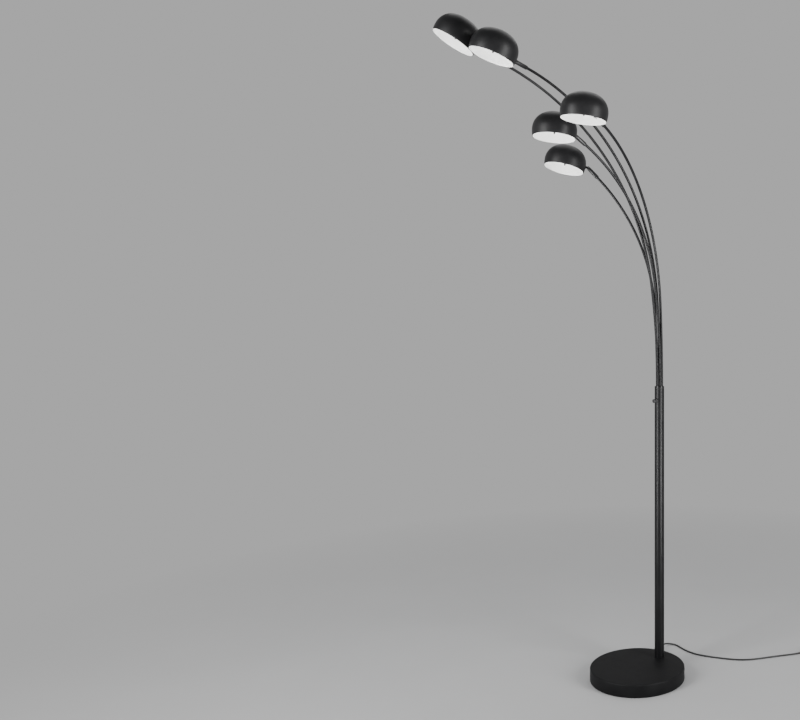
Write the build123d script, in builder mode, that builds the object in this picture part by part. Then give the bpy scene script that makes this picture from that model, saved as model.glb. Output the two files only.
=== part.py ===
"""Tree floor lamp: five arched arms fan out of one upright, each with a small domed shade.

Millimetres, +Z up.  The origin is the centre of the round base on the floor, and +X points from
the upright, which stands near the rear edge of the base, to the side that the arms lean over.
"""
from build123d import *
from math import atan2, cos, degrees, pi, radians, sin, sqrt, tan
import os

# --------------------------------------------------------------------------- driving sizes
# Fits between pieces
RUNNING = 0.05            # radial play of a turning fit
SNUG = 0.1                # radial play of a fixed fit
SEAT_GAP = 0.2            # play along the axis of a turning piece

# Base
BASE_DIAMETER = 288.0
BASE_HEIGHT = 38.5
BASE_EDGE = 4.0           # rounding of the top edge
EDGE_STEPS = 2            # flats of that rounding
BASE_SIDES = 48
FLANGE_SIDES = 32
INNER_SIDES = 16          # round forms inside the lamp
COVER_WALL = 1.2
COVER_LIFT = 0.8          # the cover's lower edge clears the floor
PAD_THICKNESS = 3.0
WEIGHT_THICKNESS = 22.0
BOSS_DIAMETER = 62.0
NUT_RECESS_DIAMETER = 32.0
NUT_RECESS_DEPTH = 21.0
CHANNEL_WIDTH = 9.0       # lead channel in the underside of the weight
CHANNEL_DEPTH = 11.0

# Upright
POLE_SET_BACK = 96.0      # from the base's centre
POLE_DIAMETER = 30.0
POLE_WALL = 1.5
POLE_TOP = 884.0          # top of the arm plug's flange
STUD_DIAMETER = 10.0
STUD_BORE = 6.4
STUD_PLAY = 0.3           # radial, in the cover and the weight
FOOT_LENGTH = 20.0
NUT_ACROSS_FLATS = 17.0
NUT_HEIGHT = 8.0
NUT_FLANGE_DIAMETER = 24.0
NUT_FLANGE_THICKNESS = 2.0

# Plug that carries the arms
FLANGE_THICKNESS = 3.0
FLANGE_EDGE = 1.0
PLUG_DEPTH = 30.0
ARM_RING_RADIUS = 8.0     # pitch radius of the five arm holes
STEP_HEIGHT = 4.0         # the narrower lower end of each hole, on which an arm stands

# Arms
ARM_DIAMETER = 8.0
ARM_SIDES = 6
SPIGOT_DIAMETER = 6.0
BEAD_DIAMETER = 8.2       # swaged under the plug, so that the arm can't be pulled out
BEAD_HEIGHT = 2.5
ARM_STRAIGHT = 2.0        # straight stretch above the flange before the bend starts
ARM_IN_SLEEVE = 14.0

# Each arm: ring angle of its hole, way it leans, first gentle arc (length, turn), main arc
# (radius, turn), and how its shade hangs (twist about the arm's end, tilt at the knuckle).
ARMS = [
    {"ring": 0.0, "heading": -9.0, "rise": 320.0, "lean": 8.7, "radius": 767.0, "turn": 64.9,
     "twist": -12.9, "tilt": 11.4},
    {"ring": -144.0, "heading": 3.0, "rise": 281.0, "lean": 5.4, "radius": 707.0, "turn": 70.3,
     "twist": -11.6, "tilt": 2.1},
    {"ring": 144.0, "heading": 21.0, "rise": 254.0, "lean": 5.3, "radius": 582.0, "turn": 65.5,
     "twist": -4.5, "tilt": -14.1},
    {"ring": 72.0, "heading": -5.0, "rise": 317.0, "lean": 8.4, "radius": 580.0, "turn": 49.6,
     "twist": 2.2, "tilt": -25.3},
    {"ring": -72.0, "heading": -39.0, "rise": 242.0, "lean": 3.6, "radius": 640.0, "turn": 40.4,
     "twist": 10.0, "tilt": -33.0},
]

# Sleeve and swivel knuckle at an arm's end
SLEEVE_DIAMETER = 12.0
SLEEVE_LENGTH = 36.0
SLEEVE_SIDES = 12
KNUCKLE_REACH = 6.0       # from the sleeve's end to the tilt pin
SWIVEL_DIAMETER = 8.0
SWIVEL_LENGTH = 16.0
FORK_DIAMETER = 12.0
FORK_PLATE = 1.8
CHEEK_THICKNESS = 2.75
TONGUE_THICKNESS = 4.0
TONGUE_WIDTH = 7.4
TONGUE_NECK = 6.4          # width between the tongue's round end and its flange
CHEEK_WIDTH = 8.0
CHEEK_NECK = 7.6
PIN_DIAMETER = 3.0
PIN_HEAD_DIAMETER = 5.0
PIN_HEAD_HEIGHT = 1.0
SMALL_SIDES = 8           # round details that repeat

# Shade
SHADE_DIAMETER = 128.0
SHADE_HEIGHT = 74.0
SHADE_WALL = 1.2
SHADE_SIDES = 24
RIM_INSET = 2.6           # the rim is this much inside the widest ring
WIDEST_HEIGHT = 22.0
SHOULDER_RADIUS = 50.0
SHOULDER_RINGS = (24.5, 41.0, 57.5)
CAP_RADIUS = 12.0         # the crown is flat inside this
SEAT_HEIGHT = 23.0        # of the stem above the rim
SEAT_BAND = 12.0          # flat stretch of the wall at the stem
SEAT_SET = 0.3            # the band lies this much inside the widest ring
PIN_TO_WALL = 8.3

# Stem, holder and lamp in a shade
STEM_FLANGE_DIAMETER = 10.0
STEM_FLANGE_THICKNESS = 1.6
STEM_THREAD_DIAMETER = 6.0
STEM_NUT_ACROSS_FLATS = 9.0
STEM_NUT_HEIGHT = 3.0
THREAD_END = 1.0          # stands out of the nut
BRACKET_THICKNESS = 1.5
BRACKET_WIDTH = 10.0
BRACKET_FOOT = 5.5        # from the stem's axis to the lower end and to the bend
BRACKET_TOP = 60.5        # underside of its plate, above the rim
BRACKET_PLATE_END = 11.0
BRACKET_OVERHANG = 2.0    # of its plate past the holder, before it slants down
HOLDER_DIAMETER = 20.0
HOLDER_LENGTH = 22.5
HOLDER_STEP = 1.0         # its lower half is this much slimmer
HOLDER_SIDES = 12
HOLDER_SOCKET_DEPTH = 5.0
BULB_DIAMETER = 14.0
BULB_TIP = 10.0           # tip above the rim
BULB_TIP_RINGS = (0, 20, 45, 70)
BULB_GAP = 0.3

# Switch
SWITCH_DROP = 45.0        # below the top of the plug
SWITCH_BODY = 14.0
SWITCH_DEPTH = 12.5
BUSH_DIAMETER = 7.0
SWITCH_NUT_ACROSS_FLATS = 10.0
SWITCH_NUT_HEIGHT = 2.0
KNOB_DIAMETER = 12.0
KNOB_LENGTH = 9.0
KNOB_FLUTES = 12
KNOB_BEVEL = 0.8
FLUTE_DEPTH = 0.4
FLUTE_WIDTH = 1.1
KNOB_SHAFT_DIAMETER = 4.0

# Mains lead
CORD_DIAMETER = 5.0
CORD_SIDES = 6
GLAND_AZIMUTH = 197.0     # seen from the base's centre, so the lead leaves behind the upright
GLAND_HEIGHT = 8.0
GLAND_FLANGE_DIAMETER = 12.0
GLAND_FLANGE_THICKNESS = 2.0
GLAND_NECK_DIAMETER = 8.4
GLAND_SIDES = 12
RELIEF_LENGTH = 24.0
RELIEF_TIP_DIAMETER = 6.2
RELIEF_RUN = 13.0         # straight run of the lead after its tip
LEAD_BEND = 5.3           # bend of the lead inside the base

# The free stretch over the floor, after the strain relief (x, y, height of the lead's axis)
CORD_ROUTE = [
    (-189.0, -62.5, 5.6),
    (-203.0, -79.5, 3.0),
    (-219.0, -97.0, 2.5),
    (-237.0, -115.6, 2.5),
    (-250.2, -118.4, 2.5),
    (-262.7, -113.4, 2.5),
    (-270.2, -102.2, 2.5),
    (-270.0, -87.5, 2.5),
    (-263.0, -62.0, 2.5),
    (-257.0, -31.0, 2.5),
    (-257.0, 4.0, 2.5),
    (-266.0, 36.0, 2.5),
    (-279.0, 68.0, 2.5),
    (-295.0, 102.0, 2.5),
    (-315.0, 136.0, 2.5),
    (-341.0, 162.0, 2.5),
    (-374.0, 182.0, 2.5),
    (-408.0, 199.0, 2.5),
    (-444.0, 219.0, 2.5),
    (-477.0, 240.0, 3.0),
]
ROUTE_SHARE = 0.45        # share of the shorter run that an arc takes up

# Coil, tie and plug
COIL_CENTRE = (-527.5, 286.0)
COIL_OUTER = 36.0         # radius of the lead's axis where it enters the coil
COIL_PITCH = 5.6          # from turn to turn and nearly from layer to layer
COIL_LAYER = 5.45
COIL_HALF_TURNS = 4       # in the lower layer
TIE_THICKNESS = 0.6
TIE_WIDTH = 6.0
TIE_PLAY = 0.3
TIE_SIDE_PLAY = 0.8
ENTRY_RUN = 23.0          # straight run into the coil
COIL_TAIL = [             # the lead's way from the last turn to the plug
    (-23.0, 0.0, 0.0),
    (-45.0, 1.0, -4.2),
    (-68.0, 7.5, -6.2),
    (-84.0, 23.0, -5.2),
]
TAIL_TO_PLUG = (-88.5, 43.0)
TAIL_END_RUN = 12.0
GAP_SAMPLES = 500         # points on which the coil's gap to itself is measured
GAP_SPACING = 40.0        # along the lead, between two points that are compared
PLUG_WIDTH = 35.0
PLUG_NOSE_WIDTH = 26.0
PLUG_THICKNESS = 14.0
PLUG_LENGTH = 38.0
PLUG_TAPER_LENGTH = 23.0  # over which it widens
PLUG_NECK_DIAMETER = 8.0
PLUG_NECK_LENGTH = 8.0
PLUG_ROUNDING = 2.5
PIN_BLADE_DIAMETER = 4.0
PIN_BLADE_LENGTH = 19.0
PIN_BLADE_PITCH = 19.0

os.makedirs("parts", exist_ok=True)


# --------------------------------------------------------------------------- helpers
def write(piece, name, plane=Plane.XY):
    """Stand a finished piece on its plane, name it and write it out."""
    placed = piece.part.moved(plane.location)
    placed.label = name
    export_step(placed, f"parts/{name}.step")


def corner_radii(points):
    """Largest even rounding at each inner corner of a route."""
    radii = []
    for before, corner, after in zip(points[:-2], points[1:-1], points[2:]):
        arrive = Vector(*corner) - Vector(*before)
        leave = Vector(*after) - Vector(*corner)
        half_turn = radians(arrive.get_angle(leave)) / 2
        shorter = min(arrive.length, leave.length)
        radii.append(ROUTE_SHARE * shorter / sin(half_turn) * cos(half_turn))
    return radii


def ring_pairs(rings):
    """Neighbouring rings (radius, height), the wider one of each pair first."""
    return [sorted(pair, reverse=True) for pair in zip(rings[:-1], rings[1:])]


def ring_plane(wide, narrow):
    """Plane at the wide ring that faces the narrow one."""
    return Plane((0, 0, wide[1]), x_dir=(1, 0, 0), z_dir=(0, 0, 1 if narrow[1] > wide[1] else -1))


def slope(wide, narrow):
    """Draft in degrees of a wall that runs from a wide ring in to a narrow one."""
    return degrees(atan2(wide[0] - narrow[0], abs(narrow[1] - wide[1])))


def round_ring(radius, sides, play=0.0):
    """Radius of a many-sided hole whose flats clear a round or many-sided shaft."""
    return (radius + play) / cos(pi / sides)


# --------------------------------------------------------------------------- shared places
pole_x = -POLE_SET_BACK
pole_radius = POLE_DIAMETER / 2
pole_bore = pole_radius - POLE_WALL
tube_top = POLE_TOP - FLANGE_THICKNESS
plug_bottom = tube_top - PLUG_DEPTH
arm_step = plug_bottom + STEP_HEIGHT
bend_start = POLE_TOP + ARM_STRAIGHT
base_radius = BASE_DIAMETER / 2
cover_under = BASE_HEIGHT - COVER_WALL
weight_top = PAD_THICKNESS + WEIGHT_THICKNESS
recess_top = PAD_THICKNESS + NUT_RECESS_DEPTH
nut_bottom = recess_top - NUT_HEIGHT - NUT_FLANGE_THICKNESS
switch_height = POLE_TOP - SWITCH_DROP
gland_out = Vector(cos(radians(GLAND_AZIMUTH)), sin(radians(GLAND_AZIMUTH)), 0)
gland_side = Vector(-gland_out.Y, gland_out.X, 0)
pole_foot_point = Vector(pole_x, 0, 0)
gland_point = gland_out * base_radius + Vector(0, 0, GLAND_HEIGHT)

# --------------------------------------------------------------------------- base
# The pad closes the underside and is what the lamp stands on.
with BuildPart() as base_pad:
    with BuildSketch():
        RegularPolygon(base_radius - COVER_WALL - SNUG, BASE_SIDES)
    extrude(amount=PAD_THICKNESS)
base_pad.part.label = "base_pad"
export_step(base_pad.part, "parts/base_pad.step")

# Cast disc with a boss under the upright, a recess for its nut and a channel for the lead.
weight_radius = base_radius - COVER_WALL - SNUG
lead_path = Vector(gland_point.X, gland_point.Y, 0) - pole_foot_point
lead_angle = degrees(atan2(lead_path.Y, lead_path.X))
with BuildPart() as base_weight:
    with BuildSketch(Plane.XY.offset(PAD_THICKNESS)):
        RegularPolygon(weight_radius, BASE_SIDES)
    extrude(amount=WEIGHT_THICKNESS)
    with BuildSketch(Plane.XY.offset(weight_top)):
        with Locations((pole_x, 0)):
            RegularPolygon(BOSS_DIAMETER / 2, INNER_SIDES)
    extrude(amount=cover_under - weight_top)
    with BuildSketch(Plane.XY.offset(PAD_THICKNESS)):
        with Locations((pole_x, 0)):
            RegularPolygon(STUD_DIAMETER / 2 + STUD_PLAY, INNER_SIDES, major_radius=False)
    extrude(amount=cover_under, mode=Mode.SUBTRACT)
    with BuildSketch(Plane.XY.offset(PAD_THICKNESS)):
        with Locations((pole_x, 0)):
            RegularPolygon(NUT_RECESS_DIAMETER / 2, INNER_SIDES)
    extrude(amount=NUT_RECESS_DEPTH, mode=Mode.SUBTRACT)
    with BuildSketch(Plane.XY.offset(PAD_THICKNESS)):
        with Locations(Location((pole_x, 0, 0), (0, 0, lead_angle))):
            Rectangle(base_radius, CHANNEL_WIDTH, align=(Align.MIN, Align.CENTER))
    extrude(amount=CHANNEL_DEPTH, mode=Mode.SUBTRACT)
base_weight.part.label = "base_weight"
export_step(base_weight.part, "parts/base_weight.step")

# Pressed cover, open below, with a rounded edge, a hole for the stud and one for the gland.


def cover_rings(inset, steps):
    """Rings of the cover's outline from the lower edge over the rounding, moved in by a wall."""
    rings = [(base_radius - inset, COVER_LIFT)]
    edge = BASE_EDGE - inset
    for angle in [90 * step / steps for step in range(steps + 1)]:
        rings.append((base_radius - BASE_EDGE + edge * cos(radians(angle)),
                      BASE_HEIGHT - BASE_EDGE + edge * sin(radians(angle))))
    return rings


with BuildPart() as cover_hollow:
    for wide, narrow in ring_pairs(cover_rings(COVER_WALL, 1)):
        with BuildSketch(ring_plane(wide, narrow)):
            RegularPolygon(wide[0], BASE_SIDES)
        extrude(amount=abs(narrow[1] - wide[1]), taper=slope(wide, narrow))

with BuildPart() as base_cover:
    for wide, narrow in ring_pairs(cover_rings(0.0, EDGE_STEPS)):
        with BuildSketch(ring_plane(wide, narrow)):
            RegularPolygon(wide[0], BASE_SIDES)
        extrude(amount=abs(narrow[1] - wide[1]), taper=slope(wide, narrow))
    add(cover_hollow.part, mode=Mode.SUBTRACT)
    with BuildSketch(Plane.XY.offset(cover_under)):
        with Locations((pole_x, 0)):
            RegularPolygon(STUD_DIAMETER / 2 + STUD_PLAY, INNER_SIDES, major_radius=False)
    extrude(amount=COVER_WALL, mode=Mode.SUBTRACT)
    with BuildSketch(Plane(gland_point, x_dir=gland_side, z_dir=gland_out)):
        RegularPolygon(round_ring(GLAND_NECK_DIAMETER / 2, GLAND_SIDES, SNUG), GLAND_SIDES)
    extrude(amount=-BOSS_DIAMETER / 2, mode=Mode.SUBTRACT)
base_cover.part.label = "base_cover"
export_step(base_cover.part, "parts/base_cover.step")

# --------------------------------------------------------------------------- upright
with BuildPart() as pole:
    with BuildSketch(Plane.XY.offset(BASE_HEIGHT)):
        with Locations((pole_x, 0)):
            Circle(pole_radius)
            Circle(pole_bore, mode=Mode.SUBTRACT)
    extrude(amount=tube_top - BASE_HEIGHT)
    with BuildSketch(Plane((pole_x, 0, switch_height), z_dir=(1, 0, 0))):
        Circle(BUSH_DIAMETER / 2 + SNUG)
    extrude(amount=POLE_DIAMETER, mode=Mode.SUBTRACT)
pole.part.label = "pole"
export_step(pole.part, "parts/pole.step")

# The foot is welded into the tube; its hollow stud goes through the cover and the weight.
with BuildPart() as pole_foot:
    with BuildSketch(Plane.XY.offset(BASE_HEIGHT)):
        with Locations((pole_x, 0)):
            RegularPolygon(pole_bore - RUNNING, INNER_SIDES)
    extrude(amount=FOOT_LENGTH)
    with BuildSketch(Plane.XY.offset(nut_bottom)):
        with Locations((pole_x, 0)):
            RegularPolygon(STUD_DIAMETER / 2, INNER_SIDES)
    extrude(amount=BASE_HEIGHT - nut_bottom)
    with BuildSketch(Plane.XY.offset(nut_bottom)):
        with Locations((pole_x, 0)):
            RegularPolygon(STUD_BORE / 2, INNER_SIDES)
    extrude(amount=POLE_TOP, mode=Mode.SUBTRACT)
pole_foot.part.label = "pole_foot"
export_step(pole_foot.part, "parts/pole_foot.step")

# Flange nut in the recess of the weight.
with BuildPart() as base_nut:
    with BuildSketch(Plane.XY.offset(nut_bottom)):
        with Locations((pole_x, 0)):
            RegularPolygon(NUT_ACROSS_FLATS / 2, 6, major_radius=False)
    extrude(amount=NUT_HEIGHT)
    with BuildSketch(Plane.XY.offset(recess_top - NUT_FLANGE_THICKNESS)):
        with Locations((pole_x, 0)):
            RegularPolygon(NUT_FLANGE_DIAMETER / 2, INNER_SIDES)
    extrude(amount=NUT_FLANGE_THICKNESS)
    with BuildSketch(Plane.XY.offset(nut_bottom)):
        with Locations((pole_x, 0)):
            RegularPolygon(STUD_DIAMETER / 2 + RUNNING, INNER_SIDES, major_radius=False)
    extrude(amount=POLE_TOP, mode=Mode.SUBTRACT)
base_nut.part.label = "base_nut"
export_step(base_nut.part, "parts/base_nut.step")

# The arm plug closes the tube: a rounded flange on its rim and a body with five stepped holes.
ring_angles = [arm["ring"] for arm in ARMS]
hole_places = [
    (pole_x + ARM_RING_RADIUS * cos(radians(angle)), ARM_RING_RADIUS * sin(radians(angle)))
    for angle in ring_angles
]
with BuildPart() as arm_plug:
    with BuildSketch(Plane.XY.offset(tube_top)):
        with Locations((pole_x, 0)):
            RegularPolygon(pole_radius, FLANGE_SIDES)
    extrude(amount=FLANGE_THICKNESS)
    chamfer(arm_plug.faces().sort_by(Axis.Z)[-1].edges(), FLANGE_EDGE)
    with BuildSketch(Plane.XY.offset(plug_bottom)):
        with Locations((pole_x, 0)):
            RegularPolygon(pole_bore - RUNNING, INNER_SIDES)
    extrude(amount=PLUG_DEPTH)
    with BuildSketch(Plane.XY.offset(plug_bottom)):
        with Locations(*hole_places):
            RegularPolygon(round_ring(SPIGOT_DIAMETER / 2, SMALL_SIDES, RUNNING), SMALL_SIDES)
    extrude(amount=STEP_HEIGHT, mode=Mode.SUBTRACT)
    with BuildSketch(Plane.XY.offset(arm_step)):
        with Locations(*hole_places):
            RegularPolygon(round_ring(ARM_DIAMETER / 2, SMALL_SIDES, RUNNING), SMALL_SIDES)
    extrude(amount=POLE_TOP, mode=Mode.SUBTRACT)
arm_plug.part.label = "arm_plug"
export_step(arm_plug.part, "parts/arm_plug.step")

# --------------------------------------------------------------------------- switch
# Body behind the wall, threaded bush through it.
switch_axis = Plane((pole_x, 0, switch_height), x_dir=(0, 1, 0), z_dir=(1, 0, 0))
bush_end = pole_radius + SWITCH_NUT_HEIGHT
body_front = sqrt(pole_bore**2 - (SWITCH_BODY / 2)**2) - SNUG
knob_back = bush_end + SEAT_GAP
shaft_back = body_front - SWITCH_DEPTH / 2
with BuildPart() as switch_body:
    with BuildSketch(switch_axis.offset(body_front)):
        Rectangle(SWITCH_BODY, SWITCH_BODY)
    extrude(amount=-SWITCH_DEPTH)
    with BuildSketch(switch_axis.offset(body_front)):
        RegularPolygon(BUSH_DIAMETER / 2, INNER_SIDES)
    extrude(amount=bush_end - body_front)
    with BuildSketch(switch_axis.offset(shaft_back)):
        RegularPolygon(KNOB_SHAFT_DIAMETER / 2 + RUNNING, INNER_SIDES, major_radius=False)
    extrude(amount=POLE_DIAMETER, mode=Mode.SUBTRACT)
switch_body.part.label = "switch_body"
export_step(switch_body.part, "parts/switch_body.step")

# Hexagonal nut, hollowed behind to sit on the round tube.
with BuildPart() as switch_nut:
    with BuildSketch(switch_axis.offset(pole_radius - SWITCH_NUT_HEIGHT)):
        RegularPolygon(SWITCH_NUT_ACROSS_FLATS / 2, 6, major_radius=False)
        RegularPolygon(BUSH_DIAMETER / 2 + RUNNING, INNER_SIDES, major_radius=False,
                       mode=Mode.SUBTRACT)
    extrude(amount=2 * SWITCH_NUT_HEIGHT)
    with BuildSketch(Plane.XY.offset(switch_height - SWITCH_BODY)):
        with Locations((pole_x, 0)):
            Circle(pole_radius + RUNNING)
    extrude(amount=2 * SWITCH_BODY, mode=Mode.SUBTRACT)
switch_nut.part.label = "switch_nut"
export_step(switch_nut.part, "parts/switch_nut.step")

# Fluted knob with a bevelled front, on its shaft.
knob_front = knob_back + KNOB_LENGTH
with BuildPart() as switch_knob:
    with BuildSketch(switch_axis.offset(knob_back)):
        RegularPolygon(KNOB_DIAMETER / 2, 2 * KNOB_FLUTES)
    extrude(amount=KNOB_LENGTH - KNOB_BEVEL)
    with BuildSketch(switch_axis.offset(knob_front - KNOB_BEVEL)):
        RegularPolygon(KNOB_DIAMETER / 2, 2 * KNOB_FLUTES)
    extrude(amount=KNOB_BEVEL, taper=45)
    with BuildSketch(switch_axis.offset(knob_back)):
        with PolarLocations(KNOB_DIAMETER / 2, KNOB_FLUTES):
            Rectangle(FLUTE_DEPTH * 2, FLUTE_WIDTH)
    extrude(amount=KNOB_LENGTH, mode=Mode.SUBTRACT)
    with BuildSketch(switch_axis.offset(shaft_back + SEAT_GAP)):
        RegularPolygon(KNOB_SHAFT_DIAMETER / 2, INNER_SIDES)
    extrude(amount=knob_back - shaft_back - SEAT_GAP)
switch_knob.part.label = "switch_knob"
export_step(switch_knob.part, "parts/switch_knob.step")

# --------------------------------------------------------------------------- shade and its fittings
# Local frame of a head: origin at the centre of the rim, +Z up to the crown, +X to the stem.
shade_radius = SHADE_DIAMETER / 2
shoulder_x = shade_radius - SHOULDER_RADIUS
crown_rise = SHADE_HEIGHT - WIDEST_HEIGHT
crown_radius = ((crown_rise**2 + shade_radius**2 - 2 * shade_radius * SHOULDER_RADIUS)
                / (2 * crown_rise - 2 * SHOULDER_RADIUS))
crown_turn = degrees(atan2(crown_rise - crown_radius, -shoulder_x)) % 180
seat_radius = shade_radius - SEAT_SET


def shade_rings(inset):
    """Rings of the dome from rim to crown, each (radius, height), moved inwards by a wall."""
    rings = [
        (shade_radius - RIM_INSET - inset, 0.0),
        (seat_radius - inset, SEAT_HEIGHT - SEAT_BAND / 2),
        (seat_radius - inset, SEAT_HEIGHT + SEAT_BAND / 2),
    ]
    for angle in SHOULDER_RINGS + (crown_turn,):
        arc = SHOULDER_RADIUS - inset
        rings.append((shoulder_x + arc * cos(radians(angle)),
                      WIDEST_HEIGHT + arc * sin(radians(angle))))
    arc = crown_radius - inset
    rings.append((CAP_RADIUS, SHADE_HEIGHT - crown_radius + sqrt(arc**2 - CAP_RADIUS**2)))
    return rings


outer_rings = shade_rings(0.0)
inner_rings = shade_rings(SHADE_WALL)
with BuildPart() as shade_hollow:
    for wide, narrow in ring_pairs(inner_rings):
        with BuildSketch(ring_plane(wide, narrow)):
            RegularPolygon(wide[0], SHADE_SIDES, major_radius=False, rotation=180 / SHADE_SIDES)
        extrude(amount=abs(narrow[1] - wide[1]), taper=slope(wide, narrow))

with BuildPart() as shade:
    for wide, narrow in ring_pairs(outer_rings):
        with BuildSketch(ring_plane(wide, narrow)):
            RegularPolygon(wide[0], SHADE_SIDES, major_radius=False, rotation=180 / SHADE_SIDES)
        extrude(amount=abs(narrow[1] - wide[1]), taper=slope(wide, narrow))
    add(shade_hollow.part, mode=Mode.SUBTRACT)
    with BuildSketch(Plane((0, 0, SEAT_HEIGHT), z_dir=(1, 0, 0))):
        RegularPolygon(STEM_THREAD_DIAMETER / 2 + SNUG, SMALL_SIDES, major_radius=False)
    extrude(amount=SHADE_DIAMETER, mode=Mode.SUBTRACT)

# Stem: a tongue in the fork, a flange against the wall, a thread through it and a nut inside.
pin_x = seat_radius + PIN_TO_WALL
inner_wall = seat_radius - SHADE_WALL
nut_front = inner_wall - BRACKET_THICKNESS
stem_axis = Plane((0, 0, SEAT_HEIGHT), x_dir=(0, 1, 0), z_dir=(1, 0, 0))
with BuildPart() as shade_stem:
    with BuildSketch(Plane((pin_x, 0, SEAT_HEIGHT), x_dir=(1, 0, 0), z_dir=(0, -1, 0))):
        RegularPolygon(TONGUE_WIDTH / 2, SMALL_SIDES)
        Rectangle(PIN_TO_WALL, TONGUE_NECK, align=(Align.MAX, Align.CENTER))
        RegularPolygon(round_ring(PIN_DIAMETER / 2, SMALL_SIDES, RUNNING), SMALL_SIDES,
                       mode=Mode.SUBTRACT)
    extrude(amount=TONGUE_THICKNESS / 2, both=True)
    with BuildSketch(stem_axis.offset(seat_radius)):
        RegularPolygon(STEM_FLANGE_DIAMETER / 2, SMALL_SIDES)
    extrude(amount=STEM_FLANGE_THICKNESS)
    with BuildSketch(stem_axis.offset(seat_radius)):
        RegularPolygon(STEM_THREAD_DIAMETER / 2, SMALL_SIDES)
    extrude(amount=nut_front - STEM_NUT_HEIGHT - THREAD_END - seat_radius)
    with BuildSketch(stem_axis.offset(nut_front)):
        RegularPolygon(STEM_NUT_ACROSS_FLATS / 2, 6, major_radius=False)
    extrude(amount=-STEM_NUT_HEIGHT)

# Bracket: clamped between the wall and the nut, it slants up to a plate over the lamp holder.
slant_end = HOLDER_DIAMETER / 2 + BRACKET_OVERHANG
with BuildPart() as holder_bracket:
    with BuildSketch(Plane.XZ):
        with BuildLine():
            Polyline(
                (inner_wall, SEAT_HEIGHT - BRACKET_FOOT),
                (inner_wall, SEAT_HEIGHT + BRACKET_FOOT),
                (slant_end, BRACKET_TOP + BRACKET_THICKNESS),
                (-BRACKET_PLATE_END, BRACKET_TOP + BRACKET_THICKNESS),
                (-BRACKET_PLATE_END, BRACKET_TOP),
                (slant_end - BRACKET_THICKNESS, BRACKET_TOP),
                (nut_front, SEAT_HEIGHT + BRACKET_FOOT - BRACKET_THICKNESS / 2),
                (nut_front, SEAT_HEIGHT - BRACKET_FOOT),
                close=True,
            )
        make_face()
    extrude(amount=BRACKET_WIDTH / 2, both=True)
    with BuildSketch(stem_axis.offset(nut_front - BRACKET_THICKNESS)):
        RegularPolygon(round_ring(STEM_THREAD_DIAMETER / 2, SMALL_SIDES, SNUG), SMALL_SIDES)
    extrude(amount=3 * BRACKET_THICKNESS, mode=Mode.SUBTRACT)

# Lamp holder under the plate, with a shallow socket for the capsule lamp.
bulb_radius = BULB_DIAMETER / 2
holder_bottom = BRACKET_TOP - HOLDER_LENGTH
socket_top = holder_bottom + HOLDER_SOCKET_DEPTH
with BuildPart() as lamp_holder:
    with BuildSketch(Plane.XY.offset(holder_bottom)):
        RegularPolygon(HOLDER_DIAMETER / 2 - HOLDER_STEP, HOLDER_SIDES)
    extrude(amount=HOLDER_LENGTH / 2)
    with BuildSketch(Plane.XY.offset(holder_bottom + HOLDER_LENGTH / 2)):
        RegularPolygon(HOLDER_DIAMETER / 2, HOLDER_SIDES)
    extrude(amount=HOLDER_LENGTH / 2)
    with BuildSketch(Plane.XY.offset(holder_bottom)):
        RegularPolygon(bulb_radius + BULB_GAP, SMALL_SIDES, major_radius=False)
    extrude(amount=HOLDER_SOCKET_DEPTH, mode=Mode.SUBTRACT)

# Capsule lamp, modelled tip up and hung tip down: its heights count down from the rim.
tip_rings = [
    (bulb_radius * cos(radians(angle)), bulb_radius * sin(radians(angle)) - BULB_TIP - bulb_radius)
    for angle in BULB_TIP_RINGS
]
with BuildPart() as bulb:
    with BuildSketch(Plane.XY.offset(BULB_GAP - socket_top)):
        RegularPolygon(bulb_radius, SMALL_SIDES, major_radius=False)
    extrude(amount=socket_top - BULB_GAP - BULB_TIP - bulb_radius)
    for wide, narrow in ring_pairs(tip_rings):
        with BuildSketch(ring_plane(wide, narrow)):
            RegularPolygon(wide[0], SMALL_SIDES, major_radius=False)
        extrude(amount=abs(narrow[1] - wide[1]), taper=slope(wide, narrow))

# --------------------------------------------------------------------------- sleeve and knuckle
# Local frame: origin at the start of the sleeve, +Z along the arm's end, +X along the tilt pin.
knuckle_z = SLEEVE_LENGTH + KNUCKLE_REACH
fork_bottom = SLEEVE_LENGTH + SEAT_GAP
fork_inner = TONGUE_THICKNESS / 2 + RUNNING
fork_outer = fork_inner + CHEEK_THICKNESS
sleeve_bore = round_ring(SWIVEL_DIAMETER / 2, SLEEVE_SIDES, RUNNING)

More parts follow.
